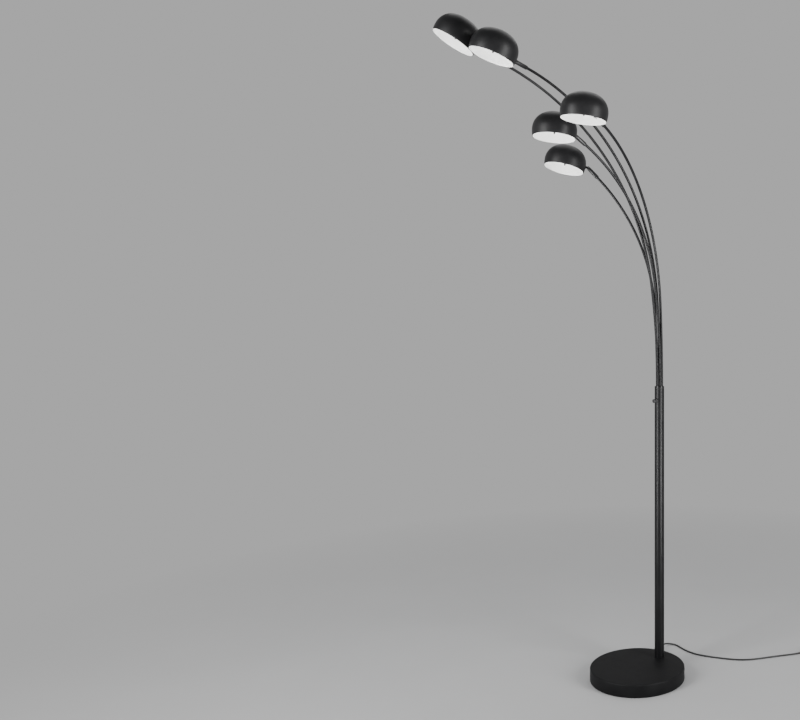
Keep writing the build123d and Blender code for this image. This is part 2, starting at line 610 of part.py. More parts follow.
# The knuckle is a swivel spigot with a fork, and a riveted pin of its own through the cheeks.
with BuildPart() as knuckle:
    with BuildSketch(Plane.XY.offset(fork_bottom - SWIVEL_LENGTH)):
        RegularPolygon(SWIVEL_DIAMETER / 2, SMALL_SIDES)
    extrude(amount=SWIVEL_LENGTH)
    with BuildSketch(Plane.XY.offset(fork_bottom)):
        RegularPolygon(FORK_DIAMETER / 2, SMALL_SIDES)
    extrude(amount=FORK_PLATE)
    with BuildSketch(Plane((fork_inner, 0, knuckle_z), x_dir=(0, 1, 0), z_dir=(1, 0, 0))):
        RegularPolygon(CHEEK_WIDTH / 2, SMALL_SIDES)
        Rectangle(CHEEK_NECK, knuckle_z - fork_bottom, align=(Align.CENTER, Align.MAX))
        RegularPolygon(round_ring(PIN_DIAMETER / 2, SMALL_SIDES, RUNNING), SMALL_SIDES,
                       mode=Mode.SUBTRACT)
    extrude(amount=fork_outer - fork_inner)
    mirror(about=Plane.YZ)
    with BuildSketch(Plane((0, 0, knuckle_z), x_dir=(0, 1, 0), z_dir=(1, 0, 0))):
        RegularPolygon(PIN_DIAMETER / 2, SMALL_SIDES)
    extrude(amount=fork_outer + RUNNING, both=True)
    for side in (-1, 1):
        with BuildSketch(Plane((side * (fork_outer + RUNNING), 0, knuckle_z), x_dir=(0, 1, 0),
                               z_dir=(side, 0, 0))):
            RegularPolygon(PIN_HEAD_DIAMETER / 2, SMALL_SIDES)
        extrude(amount=PIN_HEAD_HEIGHT)

# --------------------------------------------------------------------------- five arms with heads
for number, arm in enumerate(ARMS, start=1):
    ring_angle = radians(arm["ring"])
    heading = radians(arm["heading"])
    foot = Vector(pole_x + ARM_RING_RADIUS * cos(ring_angle), ARM_RING_RADIUS * sin(ring_angle), 0)
    out = Vector(cos(heading), sin(heading), 0)
    across = Vector(-sin(heading), cos(heading), 0)
    up = Vector(0, 0, 1)

    # The arm's own curve: upright, a gentle arc, then the main arc.
    gentle_radius = arm["rise"] / radians(arm["lean"])
    lean = radians(arm["lean"])
    end_angle = radians(arm["lean"] + arm["turn"])
    start = foot + up * bend_start
    gentle_centre = start + out * gentle_radius
    knee = gentle_centre - out * gentle_radius * cos(lean) + up * gentle_radius * sin(lean)
    normal = out * cos(lean) - up * sin(lean)
    main_centre = knee + normal * arm["radius"]
    arm_end = (main_centre - out * arm["radius"] * cos(end_angle)
               + up * arm["radius"] * sin(end_angle))
    end_way = out * sin(end_angle) + up * cos(end_angle)

    # How the head hangs on it.
    twist = radians(arm["twist"])
    tilt = radians(arm["tilt"])
    over = end_way.cross(across)
    pin_way = across * cos(twist) + over * sin(twist)
    lift = end_way.cross(pin_way)
    stem_way = end_way * cos(tilt) + lift * sin(tilt)
    crown_way = stem_way.cross(pin_way)
    pin_point = arm_end + end_way * knuckle_z
    rim_centre = pin_point + stem_way * pin_x - crown_way * SEAT_HEIGHT

    arm_frame = Plane(arm_end, x_dir=pin_way, z_dir=end_way)
    head_frame = Plane(rim_centre, x_dir=stem_way * -1, z_dir=crown_way)
    bulb_frame = Plane(rim_centre, x_dir=stem_way * -1, z_dir=crown_way * -1)

    with BuildPart() as arm_tube:
        with BuildSketch(Plane(foot + up * arm_step)):
            RegularPolygon(ARM_DIAMETER / 2, ARM_SIDES)
        extrude(amount=bend_start - arm_step)
        revolve(
            arm_tube.faces().sort_by(Axis.Z)[-1],
            axis=Axis(gentle_centre, across),
            revolution_arc=arm["lean"],
        )
        revolve(
            arm_tube.faces().sort_by(Axis.Z)[-1],
            axis=Axis(main_centre, across),
            revolution_arc=arm["turn"],
        )
        with BuildSketch(Plane(arm_end, x_dir=across, z_dir=end_way)):
            RegularPolygon(ARM_DIAMETER / 2, ARM_SIDES)
        extrude(amount=ARM_IN_SLEEVE)
        with BuildSketch(Plane(foot + up * (plug_bottom - SEAT_GAP - BEAD_HEIGHT))):
            RegularPolygon(SPIGOT_DIAMETER / 2, SMALL_SIDES)
        extrude(amount=STEP_HEIGHT + SEAT_GAP + BEAD_HEIGHT)
        with BuildSketch(Plane(foot + up * (plug_bottom - SEAT_GAP - BEAD_HEIGHT))):
            RegularPolygon(BEAD_DIAMETER / 2, SMALL_SIDES)
        extrude(amount=BEAD_HEIGHT)
    write(arm_tube, f"arm_{number}")

    with BuildPart() as sleeve:
        with BuildSketch():
            RegularPolygon(SLEEVE_DIAMETER / 2, SLEEVE_SIDES)
            RegularPolygon(sleeve_bore, SLEEVE_SIDES, mode=Mode.SUBTRACT)
        extrude(amount=SLEEVE_LENGTH)
    write(sleeve, f"sleeve_{number}", arm_frame)
    write(knuckle, f"knuckle_{number}", arm_frame)
    write(shade, f"shade_{number}", head_frame)
    write(shade_stem, f"shade_stem_{number}", head_frame)
    write(holder_bracket, f"holder_bracket_{number}", head_frame)
    write(lamp_holder, f"lamp_holder_{number}", head_frame)
    write(bulb, f"bulb_{number}", bulb_frame)
    print("arm", number, "foot", foot, "pin", pin_point, "end way", end_way, "pin way", pin_way,
          "rim centre", rim_centre, "crown way", crown_way)

# --------------------------------------------------------------------------- lead inside the lamp
switch_bottom = switch_height - SWITCH_BODY / 2
channel_start = pole_foot_point + Vector(0, 0, GLAND_HEIGHT)
lead_way = lead_path.normalized()
pull_back = CORD_DIAMETER / 2 * tan(radians(lead_way.get_angle(gland_out))) + SNUG
channel_end = gland_point - gland_out * COVER_WALL - lead_way * pull_back
with BuildPart() as inner_lead:
    with BuildLine() as inner_path:
        FilletPolyline(
            Vector(pole_x, 0, switch_bottom - SEAT_GAP),
            channel_start,
            channel_end,
            radius=LEAD_BEND,
        )
    with BuildSketch(Plane((pole_x, 0, switch_bottom - SEAT_GAP), z_dir=(0, 0, -1))):
        RegularPolygon(CORD_DIAMETER / 2, CORD_SIDES)
    sweep()
inner_lead.part.label = "inner_lead"
export_step(inner_lead.part, "parts/inner_lead.step")

# --------------------------------------------------------------------------- gland and strain relief
gland_plane = Plane(gland_point, x_dir=gland_side, z_dir=gland_out)
with BuildPart() as cord_gland:
    with BuildSketch(gland_plane.offset(-COVER_WALL)):
        RegularPolygon(GLAND_NECK_DIAMETER / 2, GLAND_SIDES)
    extrude(amount=COVER_WALL + GLAND_FLANGE_THICKNESS)
    with BuildSketch(gland_plane):
        RegularPolygon(GLAND_FLANGE_DIAMETER / 2, GLAND_SIDES)
    extrude(amount=GLAND_FLANGE_THICKNESS)
    with BuildSketch(gland_plane.offset(GLAND_FLANGE_THICKNESS)):
        RegularPolygon(GLAND_NECK_DIAMETER / 2, GLAND_SIDES)
    with BuildSketch(gland_plane.offset(GLAND_FLANGE_THICKNESS + RELIEF_LENGTH)):
        RegularPolygon(RELIEF_TIP_DIAMETER / 2, GLAND_SIDES)
    loft(ruled=True)
cord_gland.part.label = "cord_gland"
export_step(cord_gland.part, "parts/cord_gland.step")

# --------------------------------------------------------------------------- lead on the floor
relief_tip = gland_point + gland_out * (GLAND_FLANGE_THICKNESS + RELIEF_LENGTH)
coil_low = TIE_THICKNESS + TIE_PLAY + CORD_DIAMETER / 2
coil_high = coil_low + COIL_LAYER
coil_entry = (COIL_CENTRE[0], COIL_CENTRE[1] - COIL_OUTER, coil_low)
route = [tuple(relief_tip), tuple(relief_tip + gland_out * RELIEF_RUN)]
route += CORD_ROUTE
route += [(coil_entry[0] + ENTRY_RUN, coil_entry[1], coil_low), coil_entry]
route_radii = corner_radii(route)
with BuildPart() as cord_run:
    with BuildLine() as cord_path:
        FilletPolyline(*route, radius=route_radii)
    with BuildSketch(Plane(relief_tip, x_dir=gland_side, z_dir=gland_out)):
        RegularPolygon(CORD_DIAMETER / 2, CORD_SIDES)
    sweep()
cord_run.part.label = "cord_run"
export_step(cord_run.part, "parts/cord_run.step")

section_area = CORD_SIDES / 2 * (CORD_DIAMETER / 2)**2 * sin(2 * pi / CORD_SIDES)
run_length = cord_path.wires()[0].length
print("free stretch: radii", [round(radius, 1) for radius in route_radii])
print("free stretch: volume", round(cord_run.part.volume), "section x length",
      round(section_area * run_length))

# --------------------------------------------------------------------------- coil
# Half turns between the near and the far side of the centre.  The spiral goes in through the
# lower layer, climbs in the half turn where it reverses and comes out through the upper one.
half_step = COIL_PITCH / 2
inner_radius = COIL_OUTER - COIL_HALF_TURNS * half_step
side_radii = [COIL_OUTER - half_step * k for k in range(COIL_HALF_TURNS + 1)]
side_radii += [inner_radius - half_step]
side_radii += [inner_radius + half_step * k for k in range(1, COIL_HALF_TURNS)]
side_heights = [coil_low] * (COIL_HALF_TURNS + 1) + [coil_high] * COIL_HALF_TURNS
coil_sides = [
    Vector(COIL_CENTRE[0], COIL_CENTRE[1] - radius * (-1)**k, height)
    for k, (radius, height) in enumerate(zip(side_radii, side_heights))
]
tail_start = coil_sides[-1]
tail = [tuple(tail_start)] + [tuple(tail_start + Vector(*step)) for step in COIL_TAIL]
plug_entry = Vector(tail_start.X + TAIL_TO_PLUG[0], tail_start.Y + TAIL_TO_PLUG[1],
                    PLUG_THICKNESS / 2)
tail_end = plug_entry + Vector(0, TAIL_END_RUN, 0)
tail += [tuple(plug_entry), tuple(tail_end)]
tail_radii = corner_radii(tail)
with BuildPart() as cord_coil:
    with BuildLine() as coil_path:
        for k, (side, next_side) in enumerate(zip(coil_sides[:-1], coil_sides[1:])):
            half_width = (next_side - side).length / 2
            middle = (side + next_side) * 0.5 + Vector(-half_width * (-1)**k, 0, 0)
            ThreePointArc(side, middle, next_side)
        FilletPolyline(*tail, radius=tail_radii)
    with BuildSketch(Plane(coil_sides[0], x_dir=(0, 1, 0), z_dir=(-1, 0, 0))):
        RegularPolygon(CORD_DIAMETER / 2, CORD_SIDES)
    sweep()
cord_coil.part.label = "cord_coil"
export_step(cord_coil.part, "parts/cord_coil.step")

coil_wire = coil_path.wires()[0]
coil_length = coil_wire.length
samples = [coil_wire.position_at(k / GAP_SAMPLES) for k in range(GAP_SAMPLES + 1)]
apart = int(GAP_SAMPLES * GAP_SPACING / coil_length)
least_gap = min(
    (samples[j] - samples[k]).length
    for k in range(len(samples))
    for j in range(k + apart, len(samples))
) - CORD_DIAMETER
print("coil: radii of the tail", [round(radius, 1) for radius in tail_radii])
print("coil: volume", round(cord_coil.part.volume), "section x length",
      round(section_area * coil_length))
print("coil: least gap to itself", round(least_gap, 2))
print("lead: free stretch", round(run_length), "coil and tail", round(coil_length), "in all",
      round(run_length + coil_length))

# Strap round the bundle on the coil's far side.
bundle_outer = (side_radii[1] + side_radii[2]) / 2
bundle_centre = COIL_CENTRE[0] + (bundle_outer + inner_radius) / 2
bundle_width = bundle_outer - inner_radius + CORD_DIAMETER + 2 * TIE_SIDE_PLAY
bundle_height = COIL_LAYER + CORD_DIAMETER + 2 * TIE_PLAY
with BuildPart() as cord_tie:
    with BuildSketch(Plane((bundle_centre, COIL_CENTRE[1], (coil_low + coil_high) / 2),
                           x_dir=(1, 0, 0), z_dir=(0, -1, 0))):
        Rectangle(bundle_width + 2 * TIE_THICKNESS, bundle_height + 2 * TIE_THICKNESS)
        Rectangle(bundle_width, bundle_height, mode=Mode.SUBTRACT)
    extrude(amount=TIE_WIDTH / 2, both=True)
cord_tie.part.label = "cord_tie"
export_step(cord_tie.part, "parts/cord_tie.step")

# --------------------------------------------------------------------------- mains plug
plug_axis = Plane(tail_end, x_dir=(1, 0, 0), z_dir=(0, 1, 0))
with BuildPart() as mains_plug:
    with BuildSketch(Plane((tail_end.X, tail_end.Y, 0))):
        with BuildLine():
            Polyline(
                (-PLUG_NOSE_WIDTH / 2, PLUG_NECK_LENGTH),
                (PLUG_NOSE_WIDTH / 2, PLUG_NECK_LENGTH),
                (PLUG_WIDTH / 2, PLUG_NECK_LENGTH + PLUG_TAPER_LENGTH),
                (PLUG_WIDTH / 2, PLUG_NECK_LENGTH + PLUG_LENGTH),
                (-PLUG_WIDTH / 2, PLUG_NECK_LENGTH + PLUG_LENGTH),
                (-PLUG_WIDTH / 2, PLUG_NECK_LENGTH + PLUG_TAPER_LENGTH),
                close=True,
            )
        make_face()
    extrude(amount=PLUG_THICKNESS)
    chamfer(mains_plug.edges().filter_by(Axis.Z), PLUG_ROUNDING)
    with BuildSketch(plug_axis):
        Circle(PLUG_NECK_DIAMETER / 2)
    extrude(amount=2 * PLUG_NECK_LENGTH)
mains_plug.part.label = "mains_plug"
export_step(mains_plug.part, "parts/mains_plug.step")

with BuildPart() as plug_pins:
    with BuildSketch(plug_axis.offset(PLUG_NECK_LENGTH + PLUG_LENGTH)):
        with GridLocations(PIN_BLADE_PITCH, 0, 2, 1):
            RegularPolygon(PIN_BLADE_DIAMETER / 2, SMALL_SIDES)
    extrude(amount=PIN_BLADE_LENGTH)
plug_pins.part.label = "plug_pins"
export_step(plug_pins.part, "parts/plug_pins.step")
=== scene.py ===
# %% [markdown]
# # A tree floor lamp with five arched arms
# Five thin black tubes rise out of one upright, fan out and arch over, and each ends in a small
# domed shade that is black outside and white inside. This lesson dresses the lamp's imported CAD
# model: the CAD gives every piece its place, and Blender gives it its round outline and finish.
# The lamp's lengths are in millimetres, as on a drawing, and turn into metres when a piece is
# made. Camera, floor and lights are placed in metres.

# %% Load the CAD frame
from math import atan2, cos, degrees, pi, radians, sin, sqrt, tan

import bpy
from mathutils import Matrix, Vector


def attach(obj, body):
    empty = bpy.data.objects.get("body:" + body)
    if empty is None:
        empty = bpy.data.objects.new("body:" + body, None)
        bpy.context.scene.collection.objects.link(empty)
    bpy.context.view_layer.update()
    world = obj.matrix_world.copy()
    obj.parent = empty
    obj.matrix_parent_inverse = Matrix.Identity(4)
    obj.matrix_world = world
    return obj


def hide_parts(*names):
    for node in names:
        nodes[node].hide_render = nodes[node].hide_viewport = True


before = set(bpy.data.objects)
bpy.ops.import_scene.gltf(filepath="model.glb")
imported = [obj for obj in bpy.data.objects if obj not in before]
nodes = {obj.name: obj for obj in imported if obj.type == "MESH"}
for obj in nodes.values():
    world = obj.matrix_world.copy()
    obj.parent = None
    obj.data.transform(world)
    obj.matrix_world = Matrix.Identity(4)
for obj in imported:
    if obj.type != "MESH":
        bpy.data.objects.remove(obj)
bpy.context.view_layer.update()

MM = 0.001

# %% [markdown]
# ## The camera
# The photograph was taken at about table height, looking level, so the upright stays parallel to
# the picture's edge. The lens shift does what a view camera's rising front does: it frames the
# tall lamp at the right of the picture without tipping the camera.

# %% Camera
def add_object(name, data):
    """A new object in the scene that shows the given data."""
    added = bpy.data.objects.new(name, data)
    bpy.context.scene.collection.objects.link(added)
    return added


camera_data = bpy.data.cameras.new("level_camera")
camera = add_object("level_camera", camera_data)
camera.location = (2.0231, 2.0846, 1.19464)
camera.rotation_euler = (radians(90), 0, radians(133.3))
camera_data.sensor_width = 36.0
camera_data.lens = 42.795
camera_data.shift_x = -0.34975
camera_data.shift_y = -0.09175
camera_data.clip_end = 100.0
bpy.context.scene.camera = camera
print("camera at", tuple(round(v, 2) for v in camera.location))

# %% [markdown]
# ## Floor, backdrop and light
# A pale floor and a pale backdrop keep the black lamp readable from every side. Camera, mirrors
# and glass see a plain grey that grows darker overhead, while the light itself comes from a dim
# world and five soft panels: two tall ones at the sides, one on top, and two low ones whose
# narrow spread lights the insides of the shades and leaves the base dark.

# %% Helpers for shader trees
def math_node(tree, operation, *values):
    """A Math node; each value is a number or an output socket."""
    node = tree.nodes.new("ShaderNodeMath")
    node.operation = operation
    for socket, value in zip(node.inputs, values):
        if isinstance(value, (int, float)):
            socket.default_value = value
        else:
            tree.links.new(value, socket)
    return node.outputs[0]


def ramp(tree, value, low, high, out_low=0.0, out_high=1.0):
    """Maps a value from one span to another and clamps it."""
    node = tree.nodes.new("ShaderNodeMapRange")
    tree.links.new(value, node.inputs["Value"])
    for label, number in zip(("From Min", "From Max", "To Min", "To Max"),
                             (low, high, out_low, out_high)):
        node.inputs[label].default_value = number
    return node.outputs["Result"]


def blend(tree, factor, first, second):
    """A colour between two; each is (red, green, blue) or an output socket."""
    node = tree.nodes.new("ShaderNodeMix")
    node.data_type = "RGBA"
    tree.links.new(factor, node.inputs["Factor"])
    for label, colour in (("A", first), ("B", second)):
        if isinstance(colour, tuple):
            node.inputs[label].default_value = (*colour, 1)
        else:
            tree.links.new(colour, node.inputs[label])
    return node.outputs["Result"]


def object_place(tree):
    """Coordinates in metres that are fixed to the piece."""
    return tree.nodes.new("ShaderNodeTexCoord").outputs["Object"]


def looking_rays(tree):
    """1 for the rays of camera, mirrors and glass, and 0 for those that carry light."""
    rays = tree.nodes.new("ShaderNodeLightPath")
    looking = rays.outputs["Is Camera Ray"]
    for kind in ("Is Glossy Ray", "Is Transmission Ray"):
        looking = math_node(tree, "MAXIMUM", looking, rays.outputs[kind])
    return looking


print("shader helpers ready")

# %% Floor
FLOOR_HALF = 14.0
FLOOR_DROP = 0.0004
floor_mesh = bpy.data.meshes.new("studio_floor")
floor_mesh.from_pydata(
    [(-FLOOR_HALF, -FLOOR_HALF, 0), (FLOOR_HALF, -FLOOR_HALF, 0),
     (FLOOR_HALF, FLOOR_HALF, 0), (-FLOOR_HALF, FLOOR_HALF, 0)], [], [(0, 1, 2, 3)])
studio_floor = add_object("studio_floor", floor_mesh)
studio_floor.location.z = -FLOOR_DROP
print("floor", 2 * FLOOR_HALF, "m wide")

# %% World
world = bpy.data.worlds.new("studio_world")
bpy.context.scene.world = world
world.use_nodes = True
world_tree = world.node_tree
world_tree.nodes.clear()
world_out = world_tree.nodes.new("ShaderNodeOutputWorld")
room_light = world_tree.nodes.new("ShaderNodeBackground")
room_light.inputs["Color"].default_value = (0.80, 0.81, 0.83, 1)
room_light.inputs["Strength"].default_value = 0.45
PALE = (0.46, 0.46, 0.46)
DIM_OVERHEAD = (0.16, 0.16, 0.16)
way = world_tree.nodes.new("ShaderNodeSeparateXYZ")
world_tree.links.new(world_tree.nodes.new("ShaderNodeTexCoord").outputs["Generated"],
                     way.inputs[0])
overhead = ramp(world_tree, way.outputs["Z"], 0.35, 0.85)
shown = world_tree.nodes.new("ShaderNodeBackground")
world_tree.links.new(blend(world_tree, overhead, PALE, DIM_OVERHEAD), shown.inputs["Color"])
choose = world_tree.nodes.new("ShaderNodeMixShader")
world_tree.links.new(looking_rays(world_tree), choose.inputs["Fac"])
world_tree.links.new(room_light.outputs[0], choose.inputs[1])
world_tree.links.new(shown.outputs[0], choose.inputs[2])
world_tree.links.new(choose.outputs[0], world_out.inputs["Surface"])
print("world nodes:", len(world_tree.nodes))

# %% Soft panels
def soft_panel(name, place, target, width, height, watts, spread=180):
    """An area light that faces a point; a spread under 180 degrees works like a grid."""
    light = bpy.data.lights.new(name, "AREA")
    light.shape = "RECTANGLE"
    light.size, light.size_y, light.energy = width, height, watts
    light.spread = radians(spread)
    panel = add_object(name, light)
    panel.location = place
    panel.rotation_euler = (Vector(target) - Vector(place)).to_track_quat("-Z", "Y").to_euler()
    panel.visible_camera = False


LAMP_MIDDLE = (0.2, 0.0, 1.3)
SHADES_MIDDLE = (0.4, 0.0, 1.75)
soft_panel("left_panel", (2.9, -0.3, 1.5), LAMP_MIDDLE, 1.1, 2.1, 108)
soft_panel("right_panel", (-0.5, 3.0, 1.5), LAMP_MIDDLE, 1.1, 2.1, 104)
soft_panel("top_panel", (-0.8, -0.8, 3.6), LAMP_MIDDLE, 2.2, 2.2, 30)
soft_panel("left_low_panel", (1.85, -0.15, 0.22), SHADES_MIDDLE, 0.9, 0.5, 21, spread=95)
soft_panel("right_low_panel", (0.05, 2.0, 0.22), SHADES_MIDDLE, 0.9, 0.5, 21, spread=95)

# %% [markdown]
# ## Shader groups
# Powder coat isn't smooth: it dries with a fine orange-peel grain, and dust settles on what faces
# up, and drawn metal keeps fine lines. Each effect is wanted on several pieces, so each is a node
# group that gives out masks and heights only. Each material decides what to do with them.

# %% A helper for node groups
def new_group(name, inputs, outputs):
    """An empty shader group with float inputs {name: value} and float outputs."""
    group = bpy.data.node_groups.new(name, "ShaderNodeTree")
    for label, value in inputs.items():
        socket = group.interface.new_socket(label, in_out="INPUT", socket_type="NodeSocketFloat")
        socket.default_value = value
    for label in outputs:
        group.interface.new_socket(label, in_out="OUTPUT", socket_type="NodeSocketFloat")
    return group, group.nodes.new("NodeGroupInput"), group.nodes.new("NodeGroupOutput")


def noise(tree, coordinates, scale, detail=3.0, roughness=0.5):
    """A noise texture on given coordinates; scale is a number or an output socket."""
    texture = tree.nodes.new("ShaderNodeTexNoise")
    texture.inputs["Detail"].default_value = detail
    texture.inputs["Roughness"].default_value = roughness
    tree.links.new(coordinates, texture.inputs["Vector"])
    if isinstance(scale, (int, float)):
        texture.inputs["Scale"].default_value = scale
    else:
        tree.links.new(scale, texture.inputs["Scale"])
    return texture.outputs["Fac"]

print("group helpers ready")

# %% Coat grain
coat_grain, grain_in, grain_out = new_group(
    "coat_grain", {"Grain per metre": 900.0, "Mottle per metre": 18.0}, ["Height", "Mottle"])
on_coat = object_place(coat_grain)
fine = noise(coat_grain, on_coat, grain_in.outputs["Grain per metre"], 2.0, 0.45)
broad = noise(coat_grain, on_coat, grain_in.outputs["Mottle per metre"], 4.0, 0.6)
coat_grain.links.new(fine, grain_out.inputs["Height"])
coat_grain.links.new(ramp(coat_grain, broad, 0.35, 0.65), grain_out.inputs["Mottle"])

# %% Settled dust
settled_dust, dust_in, dust_out = new_group(
    "settled_dust", {"Amount": 0.5, "Specks per metre": 260.0}, ["Dust"])
on_top = object_place(settled_dust)
facing = settled_dust.nodes.new("ShaderNodeSeparateXYZ")
surface = settled_dust.nodes.new("ShaderNodeNewGeometry")
settled_dust.links.new(surface.outputs["Normal"], facing.inputs[0])
upward = ramp(settled_dust, facing.outputs["Z"], 0.35, 1.0)
speckle = noise(settled_dust, on_top, dust_in.outputs["Specks per metre"], 5.0, 0.7)
specks = ramp(settled_dust, speckle, 0.50, 0.72)
cloud = ramp(settled_dust, noise(settled_dust, on_top, 9.0, 3.0), 0.3, 0.7, 0.35, 1.0)
dust = math_node(settled_dust, "MULTIPLY", upward, specks)
dust = math_node(settled_dust, "MULTIPLY", dust, cloud)
dust = math_node(settled_dust, "MULTIPLY", dust, dust_in.outputs["Amount"])
settled_dust.links.new(dust, dust_out.inputs["Dust"])

# %% Fine brushing
fine_brushing, brush_in, brush_out = new_group(
    "fine_brushing", {"Lines per metre": 1800.0, "Stretch": 0.03}, ["Lines"])
on_metal = object_place(fine_brushing)
split = fine_brushing.nodes.new("ShaderNodeSeparateXYZ")
fine_brushing.links.new(on_metal, split.inputs[0])
join = fine_brushing.nodes.new("ShaderNodeCombineXYZ")
for axis in ("X", "Y"):
    fine_brushing.links.new(split.outputs[axis], join.inputs[axis])
fine_brushing.links.new(
    math_node(fine_brushing, "MULTIPLY", split.outputs["Z"], brush_in.outputs["Stretch"]),
    join.inputs["Z"])
fine_brushing.links.new(
    noise(fine_brushing, join.outputs[0], brush_in.outputs["Lines per metre"], 3.0, 0.6),
    brush_out.inputs["Lines"])
print("shader groups:", [g.name for g in bpy.data.node_groups])

# %% [markdown]
# ## Materials
# A finish is a Principled BSDF whose constant numbers are set on its own sockets. What changes
# over the surface comes from the groups: the colour between two close tones, the roughness
# between two values, and a bump from the grain.

# %% A helper for finishes
DUST_TONE = (0.20, 0.19, 0.18)
DUST_ROUGHNESS = 0.3


def finish(name, tones, roughness, metallic=0.0, grain=900.0, mottle=18.0, bump=0.10,
           depth=0.00006, dust_amount=0.0, group="coat_grain", **constants):
    """A Principled material between two tones and two roughness values."""
    material = bpy.data.materials.new(name)
    material.use_nodes = True
    tree = material.node_tree
    shader = tree.nodes["Principled BSDF"]
    shader.inputs["Metallic"].default_value = metallic
    for label, value in constants.items():
        shader.inputs[label.replace("_", " ")].default_value = value
    texture = tree.nodes.new("ShaderNodeGroup")
    texture.node_tree = bpy.data.node_groups[group]
    if group == "coat_grain":
        texture.inputs["Grain per metre"].default_value = grain
        texture.inputs["Mottle per metre"].default_value = mottle
        height, mask = texture.outputs["Height"], texture.outputs["Mottle"]
    else:
        texture.inputs["Lines per metre"].default_value = grain
        height = mask = texture.outputs["Lines"]
    colour = blend(tree, mask, *tones)
    rough = ramp(tree, mask, 0.0, 1.0, *roughness)
    if dust_amount:
        film = tree.nodes.new("ShaderNodeGroup")
        film.node_tree = settled_dust
        film.inputs["Amount"].default_value = dust_amount
        colour = blend(tree, film.outputs["Dust"], colour, DUST_TONE)
        more = math_node(tree, "MULTIPLY", film.outputs["Dust"], DUST_ROUGHNESS)
        rough = math_node(tree, "ADD", rough, more)
    tree.links.new(colour, shader.inputs["Base Color"])
    tree.links.new(rough, shader.inputs["Roughness"])
    relief = tree.nodes.new("ShaderNodeBump")
    relief.inputs["Strength"].default_value = bump
    relief.inputs["Distance"].default_value = depth
    tree.links.new(height, relief.inputs["Height"])
    tree.links.new(relief.outputs["Normal"], shader.inputs["Normal"])
    return material

# %% Paints
base_black = finish("base_black", ((0.006, 0.006, 0.0065), (0.009, 0.009, 0.0095)), (0.50, 0.60),
                    grain=1100, bump=0.35, dust_amount=0.05, Specular_IOR_Level=0.12)
tube_black = finish("tube_black", ((0.005, 0.005, 0.0055), (0.008, 0.008, 0.0085)), (0.33, 0.40),
                    grain=1500, bump=0.06, dust_amount=0.04, Specular_IOR_Level=0.17)
shade_black = finish("shade_black", ((0.005, 0.005, 0.0055), (0.008, 0.008, 0.0085)), (0.38, 0.46),
                     grain=1300, bump=0.15, dust_amount=0.04, Specular_IOR_Level=0.20)
shade_white = finish("shade_white", ((0.89, 0.89, 0.88), (0.92, 0.92, 0.91)), (0.40, 0.50),
                     grain=1000, bump=0.12)
sleeve_black = finish("sleeve_black", ((0.007, 0.007, 0.0075), (0.010, 0.010, 0.0105)), (0.28, 0.35),
                      grain=700, bump=0.015, Specular_IOR_Level=0.30)
plug_gloss = finish("plug_gloss", ((0.006, 0.006, 0.0065), (0.009, 0.009, 0.0095)), (0.14, 0.20),
                    grain=700, bump=0.04, Specular_IOR_Level=0.40)

# %% Metals
zinc_steel = finish("zinc_steel", ((0.50, 0.50, 0.50), (0.62, 0.62, 0.61)), (0.28, 0.42),
                    metallic=1.0, group="fine_brushing", grain=1600, bump=0.08)
pin_steel = finish("pin_steel", ((0.55, 0.55, 0.56), (0.66, 0.66, 0.66)), (0.18, 0.30),
                   metallic=1.0, group="fine_brushing", grain=2600, bump=0.05)
cast_iron = finish("cast_iron", ((0.055, 0.052, 0.050), (0.090, 0.085, 0.080)), (0.62, 0.82),
                   metallic=0.6, grain=420, mottle=30, bump=0.8, depth=0.0003)

# %% Plastics and rubber
knob_plastic = finish("knob_plastic", ((0.016, 0.016, 0.017), (0.022, 0.022, 0.023)), (0.34, 0.44),
                      grain=2600, bump=0.12)
body_plastic = finish("body_plastic", ((0.020, 0.020, 0.020), (0.030, 0.030, 0.030)), (0.45, 0.55),
                      grain=1500, bump=0.15)
lead_sheath = finish("lead_sheath", ((0.010, 0.010, 0.010), (0.016, 0.016, 0.016)), (0.42, 0.54),
                     grain=1800, bump=0.10, dust_amount=0.15)
plug_sheath = finish("plug_sheath", ((0.014, 0.014, 0.014), (0.019, 0.019, 0.019)), (0.40, 0.50),
                     grain=3200, bump=0.30, dust_amount=0.12)
strap_nylon = finish("strap_nylon", ((0.018, 0.018, 0.018), (0.026, 0.026, 0.026)), (0.38, 0.48),
                     grain=900, bump=0.06)
pad_rubber = finish("pad_rubber", ((0.022, 0.022, 0.022), (0.036, 0.035, 0.034)), (0.70, 0.84),
                    grain=800, mottle=40, bump=0.35)
holder_ceramic = finish("holder_ceramic", ((0.78, 0.77, 0.74), (0.84, 0.83, 0.80)), (0.20, 0.34),
                        grain=600, bump=0.06)

# %% Glass
bulb_glass = bpy.data.materials.new("bulb_glass")
bulb_glass.use_nodes = True
glass_tree = bulb_glass.node_tree
glass = glass_tree.nodes["Principled BSDF"]
glass.inputs["Base Color"].default_value = (0.93, 0.94, 0.94, 1)
glass.inputs["Transmission Weight"].default_value = 1.0
glass.inputs["IOR"].default_value = 1.46
glass_grain = glass_tree.nodes.new("ShaderNodeGroup")
glass_grain.node_tree = coat_grain
glass_grain.inputs["Grain per metre"].default_value = 90.0
glass_tree.links.new(ramp(glass_tree, glass_grain.outputs["Mottle"], 0, 1, 0.02, 0.06),
                     glass.inputs["Roughness"])
# The lamp's tip is an opaque dark paint instead of glass: a painted refraction that stands in for
# the dark look of a clear glass tip.
painted_refraction_tip = finish("painted_refraction_tip", ((0.020, 0.020, 0.020), (0.050, 0.048, 0.045)), (0.12, 0.24),
                   grain=900, bump=0.08)
print("finishes:", len(bpy.data.materials))

# %% [markdown]
# ## The floor's paint
# A large sheet shows its far edge as a hard line, so for camera, mirrors and glass the floor
# fades with distance into the grey of the backdrop. Near the lamp it stays real paint.

